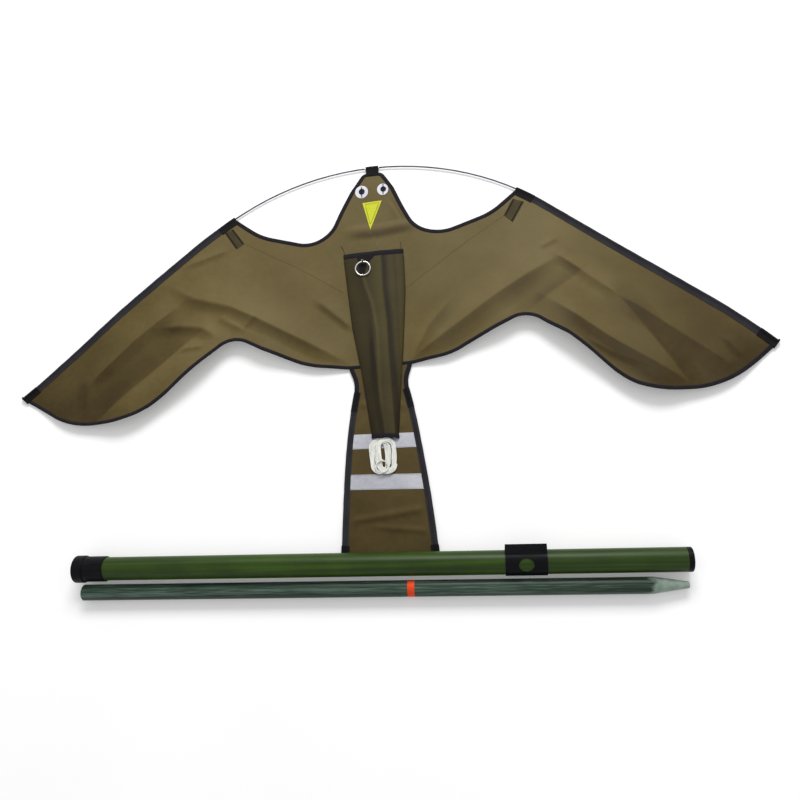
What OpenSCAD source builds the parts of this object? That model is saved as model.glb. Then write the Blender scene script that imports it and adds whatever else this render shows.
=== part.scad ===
// Bird scarer kite with its telescopic pole, ground stake and flying line, laid out on a floor.
// Millimetres, +Z up. X runs along the pole and Y from the pole towards the kite's head.

/* [Layout] */
// Turn of the kite on the floor, in degrees
kite_yaw = 3; // [-8:0.5:8]
// Sideways place of the kite's middle line
kite_x = 2; // [-10:1:10]
// Place of the kite's tail waist
kite_y = -70; // [-90:1:-50]
// Middle of the pole along X
pole_x = -9; // [-20:1:40]
// Axis of the pole
pole_y = -437; // [-520:1:-425]
// Middle of the stake along X
stake_x = -5; // [-20:1:40]
// Free space between the pole's butt and the stake, seen from above
stake_gap = 2; // [2:0.5:15]

/* [Cloth] */
// Thickness of the sail cloth
cloth_t = 0.8; // [0.4:0.1:1.2]
// Gap between sewn pieces
seam_gap = 0.3; // [0.2:0.05:0.5]
// Width of the edge binding
tape_w = 7; // [5:0.5:9]
// Thickness of the folded edge binding
tape_t = 2; // [1.4:0.1:2.6]
// Thickness of patches sewn on the cloth
patch_t = 0.6; // [0.3:0.1:1]

/* [Sail] */
// Wing tip, measured from the middle line
half_span = 790; // [650:5:950]
// Top edge of the head
head_y = 547; // [520:1:600]
// Half width of the head's flat top
head_half = 28; // [22:1:34]
// Rounding of the head's top corners
head_r = 30; // [20:1:36]
// Corner between head and shoulder, across
neck_x = 130; // [110:1:170]
// Corner between head and shoulder, along
neck_y = 342; // [300:1:400]
// Rounding between head and shoulder
neck_r = 80; // [50:1:90]
// Where the edge sags between neck and shoulder, across
sag_x = 262; // [240:1:280]
// Where the edge sags between neck and shoulder, along
sag_y = 408; // [400:1:420]
// Rounding of that sag
sag_r = 150; // [80:5:200]
// Outer round of the wing's lobe, measured in from the tip
lobe_outer_in = 118; // [90:1:150]
// Inner round of the wing's lobe, measured in from the tip
lobe_inner_in = 269; // [220:1:300]
// Lowest edge of the wing's lobe
lobe_y = -52; // [-60:1:-30]
// Outer rounding of the lobe
lobe_outer_r = 180; // [120:1:210]
// Inner rounding of the lobe
lobe_inner_r = 150; // [110:1:180]
// Notch between lobe and tail, across
notch_x = 303; // [260:1:390]
// Notch between lobe and tail, along
notch_y = 134; // [110:1:190]
// Rounding of the notch
notch_r = 60; // [40:1:80]
// Where the trailing edge flattens before the tail, across
root_x = 150; // [120:1:190]
// Where the trailing edge flattens before the tail, along
root_y = 55; // [50:1:75]
// Rounding there
root_r = 140; // [80:1:170]
// Seam between sail and tail
seam_y = 46; // [35:1:55]
// Height that the trailing edge billows off the floor
billow = 28; // [0:1:40]
// Height of the folds along the trailing edge
fold_h = 4; // [0:0.5:8]
// Distance between those folds
fold_pitch = 150; // [90:5:250]

/* [Bow spar and sleeves] */
// Diameter of the bow spar
spar_d = 4; // [3:0.1:5]
// Radius of the bow over the head
bow_r = 564; // [480:2:680]
// Angle of the bow at which the spar runs straight
bow_angle = 42.7; // [39:0.1:46]
// Angle of the bow at which the sleeve starts
shoulder_angle = 35.7; // [32:0.1:37]
// Height of the bow's top above the head's edge
bow_rise = 15; // [8:0.5:20]
// Free play of a spar in its sleeve
sleeve_play = 0.3; // [0.2:0.05:0.6]
// Thickness of the sleeve cloth
sleeve_t = 1.6; // [1:0.1:2.2]
// Width of the sleeve's flap on the sail
sleeve_flap = 12; // [9:0.5:16]
// Length of a wing tip cap
tip_cap_l = 38; // [28:1:50]
// Wall of a wing tip cap
tip_cap_t = 2.4; // [1.8:0.1:3]
// Width of a wing tip cap's flap
tip_cap_flap = 18; // [14:0.5:22]
// Length of the ferrule that joins the two spar halves
ferrule_l = 34; // [24:1:44]
// Wall of the ferrule
ferrule_t = 1; // [0.6:0.1:1.4]
// Width of the head loop
head_loop_w = 30; // [20:1:36]

/* [Head] */
// Diameter of an eye disc
eye_d = 28; // [22:1:33]
// Diameter of a pupil
pupil_d = 13; // [8:0.5:18]
// Place of the eyes along the head
eye_y = 495; // [485:1:505]
// Half the distance between the eyes
eye_half = 24; // [18:1:27]
// Width of the beak patch
beak_w = 44; // [30:1:56]
// Length of the beak patch
beak_l = 76; // [60:1:90]
// Top edge of the beak patch
beak_y = 465; // [450:1:470]

/* [Shoulder patches] */
// Size of a patch along the leading edge
shoulder_w = 30; // [20:1:40]
// Size of a patch across the leading edge
shoulder_l = 45; // [30:1:60]

/* [Belly tunnel] */
// Half width at the front
tunnel_front_half = 66; // [56:1:76]
// Half width at the rear
tunnel_rear_half = 26; // [20:1:32]
// Front edge
tunnel_front_y = 325; // [290:1:360]
// Rear edge
tunnel_rear_y = -109; // [-125:1:-90]
// Height of the arch at the front
tunnel_front_h = 10; // [8:0.5:28]
// Height of the arch at the rear
tunnel_rear_h = 8; // [7:0.5:20]
// Depth of the pleats along the tunnel
pleat_h = 0.8; // [0:0.1:1.2]
// Number of pleats over the arch
pleats = 5; // [3:1:8]
// Width of the hems
hem_w = 8; // [5:0.5:11]
// Thickness of the hems
hem_t = 2; // [1.4:0.1:2.6]

/* [Keel tab and ring] */
// Place of the keel tab across the tunnel
tab_x = -28; // [-31:1:-20]
// Width of the tab at the hem
tab_w = 38; // [30:1:44]
// Length of the tab
tab_l = 44; // [38:1:52]
// Thickness of the tab's pinched part
tab_t = 2; // [1.5:0.1:3]
// Distance of the eyelet from the hem
eyelet_drop = 21; // [16:0.5:26]
// Height of the eyelet's flange above the tab
eyelet_rise = 1; // [0.4:0.1:1.5]
// Bore of the eyelet
eyelet_bore = 5.6; // [4.6:0.1:7]
// Wall of the eyelet
eyelet_t = 1.2; // [0.8:0.1:1.6]
// Width of the eyelet's rolled flange
eyelet_flange = 1.4; // [1:0.1:2]
// Outer diameter of the split ring
ring_d = 35; // [30:0.5:40]
// Wire diameter of the split ring
ring_wire = 2.6; // [2:0.1:3.2]
// Slope of the ring as it lies on the tunnel, in degrees
ring_tilt = 7.5; // [6:0.5:9]

/* [Tail] */
// Half width at the seam
tail_neck_half = 70; // [63:1:82]
// Half width at the waist
tail_waist_half = 57; // [50:1:61]
// Half width at the end
tail_end_half = 91; // [78:1:105]
// End of the tail
tail_end_y = -340; // [-400:1:-290]
// Start of the sleeves below the waist
tail_sleeve_start = 8; // [6:1:14]
// Length of the spars' end caps
tail_cap_l = 15; // [11:1:20]
// Wall of the spars' end caps
tail_cap_t = 2.8; // [2:0.1:3]
// Height of a reflective strip
strip_h = 31; // [24:1:38]
// Upper edge of the upper strip
strip_upper_y = -102; // [-110:1:-95]
// Upper edge of the lower strip
strip_lower_y = -187; // [-200:1:-175]
// Thickness of a reflective strip
strip_t = 0.4; // [0.3:0.05:0.6]

/* [Flying line] */
// Diameter of the line
line_d = 2.6; // [2:0.1:3]
// Loops in one layer of the hank
hank_loops = 5; // [3:1:6]
// Distance between neighbouring loops
hank_pitch = 3.2; // [3:0.1:4]
// Width of the hank
hank_w = 52; // [46:1:60]
// Length of the hank
hank_l = 83; // [76:1:105]
// Middle of the hank across the tail
hank_x = -8; // [-14:1:-2]
// Middle of the hank along the tail
hank_y = -153; // [-160:1:-140]
// Diameter of the loop tied at the line's end
end_loop_d = 27; // [20:1:34]
// Diameter of the knot at that loop
knot_d = 6; // [5:0.1:8]

/* [Pole] */
// Length of the collapsed pole
pole_l = 1150; // [900:10:1400]
// Outer diameter of the base tube
pole_d = 44; // [40:0.5:52]
// Wall of each tube
tube_wall = 1.6; // [1.2:0.1:2]
// Space between neighbouring tubes
tube_space = 1.2; // [0.9:0.1:1.5]
// Running clearance of feet and necks
slide_gap = 0.3; // [0.2:0.05:0.5]
// Length of a tube's swelled foot
foot_l = 60; // [40:1:90]
// Length of a tube's drawn-in neck
neck_l = 40; // [25:1:60]
// Length of the slope behind a foot or neck
swell_taper = 6; // [3:1:12]
// Distance that the nested tubes lie inside the mouth
mouth_recess = 4; // [2:0.5:10]
// Length of the black mouth band
collar_l = 10; // [8:0.5:16]
// Rounding of the mouth band
collar_r = 2; // [1:0.1:2.2]
// Length of the collar inside the base tube
collar_spigot = 40; // [25:1:60]
// Length of the socket for the stake in the base tube
socket_l = 80; // [60:1:120]
// Length of the tip eye past its tube
tip_eye_l = 13; // [11:0.5:18]
// Bore of the tip eye
tip_eye_bore = 6.8; // [5.5:0.1:8]
// Thickness of the tip eye
tip_eye_t = 3; // [2:0.1:4]
// Length of the tip eye's plug in its tube
tip_plug_l = 24; // [16:1:34]

/* [Butt cap] */
// Length of the rim
rim_l = 20; // [14:0.5:28]
// Wall of the rim around the tube
rim_t = 3.5; // [2.6:0.1:4.5]
// Length of the whole cap
cap_l = 60; // [44:1:70]
// Wall of the cap's sleeve
cap_t = 1.7; // [1.2:0.1:2.2]
// Thickness of the closed end
cap_end_t = 5; // [3:0.5:7]
// Rounding of the rim
rim_r = 2; // [1:0.1:2.4]

/* [Strap] */
// Width of the strap along the pole
strap_w = 75; // [60:1:110]
// Middle of the strap, from the pole's middle
strap_x = 283; // [150:1:320]
// Thickness of the strap
strap_t = 2; // [1.4:0.1:2.6]
// Reach of its flap past the pole's axis
strap_reach = 28; // [27:0.5:40]
// Punched hole
strap_hole_d = 28; // [20:0.5:34]
// Turn of the hole round the pole from its top towards the front
strap_hole_turn = 27; // [10:1:34]

/* [Stake] */
// Length of the stake
stake_l = 1126; // [900:5:1350]
// Diameter of the stake
stake_d = 30; // [24:0.5:33]
// Length of the ground point
point_l = 62; // [45:1:80]
// Diameter of the point's blunt end
point_d = 12; // [8:0.5:16]
// Bevel at the plain end
stake_bevel = 1.5; // [0.5:0.1:2.5]
// Width of the depth mark
mark_w = 13; // [8:0.5:20]
// Depth of the groove that holds the mark
mark_t = 0.8; // [0.5:0.1:1.2]
// Middle of the mark, from the plain end
mark_x = 632; // [500:1:700]
// Play of the stake in its socket
socket_play = 0.3; // [0.2:0.05:0.6]

/* [Hidden] */
$fn = 64;
sections = 5;
arc_steps = 6;
seam_columns = 5;
wing_columns = 52;
sail_rows = 4;
tunnel_columns = 18;
tunnel_rows = 20;
line_sides = 6;
loop_rings = 24;
nudge = 0.05;

// Cloth levels: the middle plane of the cloth lies at the spars' axes.
spar_r = spar_d / 2;
spar_bore_r = spar_r + sleeve_play;
sleeve_r = spar_bore_r + sleeve_t;
tip_cap_r = spar_bore_r + tip_cap_t;
tail_cap_r = spar_r + nudge + tail_cap_t;
cloth_z = max(tip_cap_r, tail_cap_r, sleeve_r);
cloth_top = cloth_z + cloth_t / 2;
flap_slot = cloth_t + 2 * seam_gap;
flap_ply = 0.6;

// The bow is an arc over the head that runs on as a straight leading edge.
bow_top = head_y + bow_rise;
bow_cy = bow_top - bow_r;
bow_end = bow_point(bow_r, bow_angle);
leading_l = (half_span - bow_end[0]) / cos(bow_angle);
tip = [half_span, bow_end[1] - leading_l * sin(bow_angle)];
edge_play = 0.7;
edge_in_sleeve = spar_bore_r + edge_play;
tape_end_gap = 1.3;
tape_end_share = 1.15;
sail_end_share = 0.6;

function bow_point(r, a) = [r * sin(a), bow_cy + r * cos(a)];
function unit(v) = v / norm(v);

// The arc that rounds corner b between a and c, or b itself where its radius is zero.
function corner(a, b, c) =
    let (p = [b[0], b[1]], u = unit([a[0], a[1]] - p), w = unit([c[0], c[1]] - p))
    let (half = acos(max(-1, min(1, u * w))) / 2)
    b[2] == 0 ? [p] :
    let (centre = p + unit(u + w) * b[2] / sin(half))
    let (start = p + u * b[2] / tan(half) - centre, stop = p + w * b[2] / tan(half) - centre)
    let (from = atan2(start[1], start[0]), swing = atan2(stop[1], stop[0]) - from)
    let (turn = swing > 180 ? swing - 360 : swing < -180 ? swing + 360 : swing)
    [for (i = [0:arc_steps])
        let (a = from + turn * i / arc_steps)
        centre + b[2] * [cos(a), sin(a)]];
function rounded(p) = [for (i = [1:len(p) - 2]) each corner(p[i - 1], p[i], p[i + 1])];

// Outlines of the right half, as heights y over x.
shoulder = bow_point(bow_r - tape_w, shoulder_angle - tape_end_gap);
head_path = concat(
    [[0, head_y]],
    rounded([
        [0, head_y, 0], [head_half, head_y, head_r], [neck_x, neck_y, neck_r],
        [sag_x, sag_y, sag_r], [shoulder[0], shoulder[1], 0]]),
    [shoulder]);
seam_half = tail_neck_half;
trailing_start = [seam_half, seam_y];
trailing_path = concat(
    [trailing_start],
    rounded([
        [seam_half, seam_y, 0], [root_x, root_y, root_r], [notch_x, notch_y, notch_r],
        [half_span - lobe_inner_in, lobe_y, lobe_inner_r], [half_span - lobe_outer_in, lobe_y, lobe_outer_r],
        [tip[0], tip[1], 0]]),
    [tip]);
tape_tip_x = half_span - tape_end_share * tip_cap_flap;
function head_edge(x) = lookup(x, head_path);
function trailing_edge(x) = lookup(x, trailing_path);
function head_stretch(x) = norm([1, head_edge(x + 0.5) - head_edge(x - 0.5)]);
function trailing_stretch(x) = norm([1, trailing_edge(x + 0.5) - trailing_edge(x - 0.5)]);
sail_inset = tape_w + seam_gap;
sail_tip_x = half_span - sail_end_share * tip_cap_flap;

// Stations across the right half, shared by the sail and its bindings.
half_x = concat(
    [for (i = [0:seam_columns]) seam_half * i / seam_columns],
    [for (i = [0:wing_columns]) seam_half + seam_gap + (tape_tip_x - seam_half - seam_gap) * i / wing_columns],
    [sail_tip_x]);
head_x = [for (x = half_x) if (x < shoulder[0]) x];
wing_x = [for (x = half_x) if (x > seam_half && x < sail_tip_x) x];
function both_sides(x) = concat([for (i = [len(x) - 1:-1:1]) -x[i]], x);
function below_head(x) = head_edge(x) - sail_inset * head_stretch(x);
head_end_x = head_x[len(head_x) - 1];
leading_path = concat(
    [[head_end_x, below_head(head_end_x)]],
    [for (i = [1:arc_steps])
        bow_point(bow_r - edge_in_sleeve, shoulder_angle + (bow_angle - shoulder_angle) * i / arc_steps)],
    [tip - edge_in_sleeve * [sin(bow_angle), cos(bow_angle)]]);
function sail_upper(x) = x <= head_end_x ? below_head(x) : lookup(x, leading_path);
function sail_lower(x) =
    x <= seam_half ? seam_y : trailing_edge(x) + sail_inset * trailing_stretch(x);

// The trailing edge billows up between the tail and the wing tips, with shallow folds in it.
billow_in = 60;
billow_out = half_span - tip_cap_l;
function swell(x) = sin(180 * max(0, min(1, (x - billow_in) / (billow_out - billow_in))));
function edge_lift(x) = swell(x) * (billow + fold_h * sin(360 * (x - billow_in) / fold_pitch));
function chord_share(x, y) = max(0, min(1, (y - sail_lower(x)) / (sail_upper(x) - sail_lower(x))));
droop = [for (j = [0:sail_rows]) [j / sail_rows, pow(1 - j / sail_rows, 2)]];
function sail_z(x, y) = cloth_z + edge_lift(abs(x)) * lookup(chord_share(abs(x), y), droop);

// A tunnel section at y is half an ellipse with shallow pleats.
tunnel_z = cloth_top + strip_t + 2 * seam_gap;
function along_tunnel(y) = (y - tunnel_rear_y) / (tunnel_front_y - tunnel_rear_y);
function tunnel_half(y) = tunnel_rear_half + (tunnel_front_half - tunnel_rear_half) * along_tunnel(y);
function tunnel_h(y) = tunnel_rear_h + (tunnel_front_h - tunnel_rear_h) * along_tunnel(y);
function pleat(a) = pleat_h * sin(a) * cos(360 * pleats * a / 180);
function tunnel_point(y, a, out) =
    [(tunnel_half(y) + out + pleat(a)) * cos(a), y, tunnel_z + (tunnel_h(y) + out + pleat(a)) * sin(a)];
function tunnel_top(x, y, out) =
    let (a = acos(max(-1, min(1, x / (tunnel_half(y) + out)))))
    tunnel_point(y, a, out)[2];

// A closed sheet between two grids of points, each a list of equal rows.
module sheet(low, high) {
    rows = len(low);
    columns = len(low[0]);
    points = concat([for (r = low) each r], [for (r = high) each r]);
    lift = rows * columns;
    function at(i, j) = i * columns + j;
    skin = [for (i = [0:rows - 2], j = [0:columns - 2])
        [at(i, j), at(i, j + 1), at(i + 1, j + 1), at(i + 1, j)]];
    rim = concat(
        [for (j = [0:columns - 1]) at(0, j)],
        [for (i = [1:rows - 1]) at(i, columns - 1)],
        [for (j = [columns - 2:-1:0]) at(rows - 1, j)],
        [for (i = [rows - 2:-1:1]) at(i, 0)]);
    walls = [for (k = [0:len(rim) - 1])
        let (a = rim[k], b = rim[(k + 1) % len(rim)])
        [b, a, a + lift, b + lift]];
    quads = concat(
        skin,
        [for (q = skin) [q[3] + lift, q[2] + lift, q[1] + lift, q[0] + lift]],
        walls);
    polyhedron(points, [for (q = quads) each [[q[0], q[1], q[2]], [q[0], q[2], q[3]]]], convexity = 8);
}

// A sheet of even thickness around a grid of points on its middle surface.
module even_sheet(grid, t) {
    sheet(
        [for (r = grid) [for (p = r) p - [0, 0, t / 2]]],
        [for (r = grid) [for (p = r) p + [0, 0, t / 2]]]);
}

// Everything on the kite is drawn in the kite's own axes, with its origin at the tail's waist.
module on_kite() {
    translate([kite_x, kite_y, 0]) rotate([0, 0, kite_yaw]) children();
}
module left_half() {
    mirror([1, 0, 0]) children();
}

module sail() {
    grid = [for (j = [0:sail_rows]) [for (x = both_sides(half_x))
        let (low = sail_lower(abs(x)), high = sail_upper(abs(x)))
        let (y = low + (high - low) * j / sail_rows)
        [x, y, sail_z(x, y)]]];
    color("darkolivegreen") on_kite() even_sheet(grid, cloth_t);
}

module head_binding() {
    grid = [for (side = [1, 0]) [for (x = both_sides(head_x))
        [x, head_edge(abs(x)) - side * tape_w * head_stretch(abs(x)), cloth_z]]];
    color("dimgray") on_kite() even_sheet(grid, tape_t);
}

module trailing_binding() {
    grid = [for (side = [0, 1]) [for (x = wing_x)
        [x, trailing_edge(x) + side * tape_w * trailing_stretch(x), cloth_z + edge_lift(x)]]];
    color("dimgray") even_sheet(grid, tape_t);
}
module trailing_binding_left() {
    on_kite() left_half() trailing_binding();
}
module trailing_binding_right() {
    on_kite() trailing_binding();
}

// Section of a sleeve: a tube for the spar and a flap of two plies that holds the cloth's edge.
module sleeve_section(bore, outer, flap, slot, less = 0) {
    thick = slot + 2 * flap_ply - 2 * less;
    open = slot + 2 * less;
    difference() {
        union() {
            circle(r = outer - less);
            translate([0, -thick / 2]) square([flap - less, thick]);
        }
        circle(r = bore + less);
        translate([0, -open / 2]) square([flap + 1, open]);
    }
}

// Along the bow from one angle to another, with x of the section pointing to the bow's centre.
module around_bow(from, to) {
    translate([0, bow_cy, cloth_z])
        rotate([0, 0, 90 - to])
            rotate_extrude(angle = to - from, $fn = 180)
                translate([bow_r, 0]) mirror([1, 0]) children();
}

// A straight run that ends at a point, slanted from -Y, with x of the section pointing inwards.
module straight_run(end, slant, length) {
    translate([end[0], end[1], cloth_z])
        rotate([90, 0, 180 + slant])
            linear_extrude(length) children();
}
leading_slant = 90 - bow_angle;

// The straight part starts this far inside the curved part, and is this much slimmer.
bow_lap = 0.4;
bow_step = 0.02;
function on_leading(s) = bow_end + s * [cos(bow_angle), -sin(bow_angle)];

module leading_sleeve() {
    color("black") {
        around_bow(shoulder_angle, bow_angle)
            sleeve_section(spar_bore_r, sleeve_r, sleeve_flap, flap_slot);
        straight_run(on_leading(leading_l - tip_cap_l), leading_slant, leading_l - tip_cap_l + bow_lap)
            sleeve_section(spar_bore_r, sleeve_r, sleeve_flap, flap_slot, bow_step);
    }
}
module leading_sleeve_left() {
    on_kite() left_half() leading_sleeve();
}
module leading_sleeve_right() {
    on_kite() leading_sleeve();
}

module tip_cap() {
    tip_end_t = 2;
    color("black") {
        straight_run(on_leading(leading_l + seam_gap), leading_slant, tip_cap_l)
            sleeve_section(spar_bore_r, tip_cap_r, tip_cap_flap, flap_slot);
        straight_run(on_leading(leading_l + seam_gap + tip_end_t), leading_slant, tip_end_t + nudge) {
            circle(r = tip_cap_r);
            translate([0, -flap_slot / 2 - flap_ply]) square([tip_cap_flap, flap_slot + 2 * flap_ply]);
        }
    }
}
module tip_cap_left() {
    on_kite() left_half() tip_cap();
}
module tip_cap_right() {
    on_kite() tip_cap();
}

module bow_spar() {
    half_gap = 0.02;
    color("black") {
        around_bow(half_gap, bow_angle) circle(r = spar_r);
        straight_run(on_leading(leading_l), leading_slant, leading_l + bow_lap) circle(r = spar_r - bow_step);
    }
}
module bow_spar_left() {
    on_kite() left_half() bow_spar();
}
module bow_spar_right() {
    on_kite() bow_spar();
}

function arc_half(length) = length / 2 / bow_r * 180 / PI;
ferrule_r = spar_r + nudge + ferrule_t;
module bow_ferrule() {
    color("black") on_kite() around_bow(-arc_half(ferrule_l), arc_half(ferrule_l)) difference() {
        circle(r = ferrule_r);
        circle(r = spar_r + nudge);
    }
}

module head_loop() {
    bore = ferrule_r + seam_gap;
    slot = tape_t + 2 * seam_gap;
    loop_ply = 0.8;
    color("black") on_kite() around_bow(-arc_half(head_loop_w), arc_half(head_loop_w))
        sleeve_section(bore, max(bore + loop_ply, slot / 2 + flap_ply), bow_rise + tape_w, slot);
}

// A patch that lies on the sail, in a grid along and across the leading edge at the shoulder.
module shoulder_patch() {
    cells = 4;
    middle = shoulder_angle + (bow_angle - shoulder_angle) / 2;
    low = cloth_t / 2 + seam_gap;
    grid = [for (j = [0:cells]) [for (i = [0:cells])
        let (v = sleeve_flap + seam_gap + (cells - j) / cells * shoulder_l)
        let (u = (i / cells - 0.5) * shoulder_w)
        let (p = bow_point(bow_r - v, middle) + u * [cos(middle), -sin(middle)])
        [p[0], p[1], sail_z(p[0], p[1])]]];
    color("olive") sheet(
        [for (r = grid) [for (p = r) p + [0, 0, low]]],
        [for (r = grid) [for (p = r) p + [0, 0, low + patch_t]]]);
}
module shoulder_patch_left() {
    on_kite() left_half() shoulder_patch();
}
module shoulder_patch_right() {
    on_kite() shoulder_patch();
}

// Discs and patches sewn on the head, which lies flat.
head_patch_z = cloth_top + seam_gap;
module eye_at(x) {
    color("white") on_kite() translate([x, eye_y, head_patch_z]) cylinder(d = eye_d, h = patch_t);
}
module pupil_at(x) {
    color("midnightblue") on_kite() translate([x, eye_y, head_patch_z + patch_t])
        cylinder(d = pupil_d, h = patch_t);
}
module eye_left() {
    eye_at(-eye_half);
}
module eye_right() {
    eye_at(eye_half);
}
module pupil_left() {
    pupil_at(-eye_half);
}
module pupil_right() {
    pupil_at(eye_half);
}
module beak() {
    color("gold") on_kite() translate([0, beak_y, head_patch_z]) linear_extrude(patch_t)
        polygon([[-beak_w / 2, 0], [beak_w / 2, 0], [0, -beak_l]]);
}

// A stretch of the tunnel from one y to another, from an inner to an outer offset.
module arch(from, to, rows, inner, outer) {
    function layer(out) = [for (j = [0:rows]) [for (i = [0:tunnel_columns])
        tunnel_point(from + (to - from) * j / rows, 180 - 180 * i / tunnel_columns, out)]];
    sheet(layer(inner), layer(outer));
}
module belly_tunnel() {
    color("saddlebrown") on_kite()
        arch(tunnel_rear_y + hem_w + seam_gap, tunnel_front_y - hem_w - seam_gap, tunnel_rows, 0, cloth_t);
}
hem_in = (hem_t - cloth_t) / 2;
module tunnel_front_hem() {
    color("black") on_kite() arch(tunnel_front_y - hem_w, tunnel_front_y, 1, -hem_in, hem_t - hem_in);
}
module tunnel_rear_hem() {
    color("black") on_kite() arch(tunnel_rear_y, tunnel_rear_y + hem_w, 1, -hem_in, hem_t - hem_in);
}

// The keel tab lies on the tunnel, and near the hem it is pinched upright around the eyelet.
tab_start = tunnel_front_y - hem_w - seam_gap;
eyelet_out_r = eyelet_bore / 2 + eyelet_t;
eyelet_y = tab_start - eyelet_drop;
pinch_r = eyelet_out_r + eyelet_flange;
eyelet_z = tunnel_top(tab_x, eyelet_y, cloth_t + seam_gap + patch_t) + pinch_r + eyelet_rise;
flange_t = 0.6;
module keel_tab() {
    cells = 4;
    tip_half = tab_t / 2;
    low = cloth_t + seam_gap;
    function layer(out) = [for (j = [0:cells]) [for (i = [0:cells])
        let (y = tab_start - (cells - j) / cells * tab_l)
        let (half = tip_half + (tab_w / 2 - tip_half) * j / cells)
        let (x = tab_x + half * (2 * i / cells - 1))
        [x, y, tunnel_top(x, y, out)]]];
    foot_z = tunnel_top(tab_x, eyelet_y, low) + patch_t / 2;
    color("black") on_kite() {
        sheet(layer(low), layer(low + patch_t));
        difference() {
            union() {
                translate([tab_x - tab_t / 2, eyelet_y, eyelet_z]) rotate([0, 90, 0])
                    cylinder(r = pinch_r, h = tab_t);
                translate([tab_x - tab_t / 2, eyelet_y - pinch_r, foot_z])
                    cube([tab_t, 2 * pinch_r, eyelet_z - foot_z]);
            }
            translate([tab_x - tab_t, eyelet_y, eyelet_z]) rotate([0, 90, 0])
                cylinder(r = eyelet_out_r + nudge, h = 2 * tab_t);
        }
    }
}

module keel_eyelet() {
    reach = tab_t / 2 + nudge;
    color("goldenrod") on_kite() translate([tab_x, eyelet_y, eyelet_z]) rotate([0, 90, 0])
        rotate_extrude() polygon([
            [eyelet_bore / 2, -reach - flange_t], [eyelet_out_r + eyelet_flange, -reach - flange_t],
            [eyelet_out_r + eyelet_flange, -reach], [eyelet_out_r, -reach],
            [eyelet_out_r, reach], [eyelet_out_r + eyelet_flange, reach],
            [eyelet_out_r + eyelet_flange, reach + flange_t], [eyelet_bore / 2, reach + flange_t]]);
}

module split_ring() {
    ring_r = (ring_d - ring_wire) / 2;
    color("silver") on_kite() translate([tab_x, eyelet_y, eyelet_z]) rotate([ring_tilt, 0, 0])
        translate([0, -ring_r, 0]) rotate_extrude() translate([ring_r, 0]) circle(d = ring_wire);
}

// The tail hangs on the seam and has a spar in a sleeve along each side.
tail_top_y = seam_y - 2 * seam_gap;
tail_slant = atan2(tail_end_half - tail_waist_half, -tail_end_y);
tail_axis_in = max(sleeve_r, tail_cap_r);
function tail_side(y) = tail_waist_half - (tail_end_half - tail_waist_half) * y / -tail_end_y - tail_axis_in;
tail_cap_end = 2;
panel_play = 1;
tail_run_end_y = tail_end_y + tail_cap_end;
tail_run_l = (-tail_sleeve_start - tail_run_end_y) / cos(tail_slant);
module tail_panel() {
    neck_half = tail_neck_half - tape_w - seam_gap;
    waist_half = tail_waist_half - tape_w - seam_gap;
    waist_y = -tail_sleeve_start / 2;
    panel_end_y = tail_run_end_y + panel_play;
    right = [
        [neck_half, tail_top_y], [waist_half, waist_y],
        [tail_side(-tail_sleeve_start) - edge_in_sleeve, -tail_sleeve_start],
        [tail_side(panel_end_y) - edge_in_sleeve, panel_end_y]];
    left = [for (i = [len(right) - 1:-1:0]) [-right[i][0], right[i][1]]];
    color("darkolivegreen") on_kite() translate([0, 0, cloth_z - cloth_t / 2])
        linear_extrude(cloth_t) polygon(concat(right, left));
}
module tail_tape() {
    bottom_y = -tail_sleeve_start / 2;
    color("black") translate([0, 0, cloth_z - tape_t / 2]) linear_extrude(tape_t) polygon([
        [tail_neck_half, tail_top_y], [tail_waist_half, bottom_y],
        [tail_waist_half - tape_w, bottom_y], [tail_neck_half - tape_w, tail_top_y]]);
}
module tail_tape_left() {
    on_kite() left_half() tail_tape();
}
module tail_tape_right() {
    on_kite() tail_tape();
}
function on_tail_side(y) = [tail_side(y), y];
module tail_sleeve() {
    end_y = tail_run_end_y + tail_cap_l * cos(tail_slant);
    color("black") straight_run(on_tail_side(end_y), tail_slant, tail_run_l - tail_cap_l)
        sleeve_section(spar_bore_r, sleeve_r, sleeve_flap, flap_slot);
}
module tail_sleeve_left() {
    on_kite() left_half() tail_sleeve();
}
module tail_sleeve_right() {
    on_kite() tail_sleeve();
}
module tail_spar() {
    color("black") straight_run(on_tail_side(tail_run_end_y + seam_gap), tail_slant, tail_run_l - seam_gap)
        circle(r = spar_r);
}
module tail_spar_left() {
    on_kite() left_half() tail_spar();
}
module tail_spar_right() {
    on_kite() tail_spar();
}
module tail_cap() {
    color("black") {
        straight_run(on_tail_side(tail_run_end_y), tail_slant, tail_cap_l - seam_gap) difference() {
            circle(r = tail_cap_r);
            circle(r = spar_r + nudge);
            translate([0, -flap_slot / 2]) square([tail_cap_r + 1, flap_slot]);
        }
        straight_run(on_tail_side(tail_end_y), tail_slant, tail_cap_end / cos(tail_slant) + nudge)
            circle(r = tail_cap_r);
    }
}
module tail_cap_left() {
    on_kite() left_half() tail_cap();
}
module tail_cap_right() {
    on_kite() tail_cap();
}

module reflective_strip(top_y) {
    inset = sleeve_flap + 2 * seam_gap;
    upper = tail_side(top_y) - inset;
    lower = tail_side(top_y - strip_h) - inset;
    color("lightgray") on_kite() translate([0, 0, cloth_top + seam_gap]) linear_extrude(strip_t)
        polygon([[upper, top_y], [lower, top_y - strip_h], [-lower, top_y - strip_h], [-upper, top_y]]);
}
module reflective_strip_upper() {
    reflective_strip(strip_upper_y);
}
module reflective_strip_lower() {
    reflective_strip(strip_lower_y);
}

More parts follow.
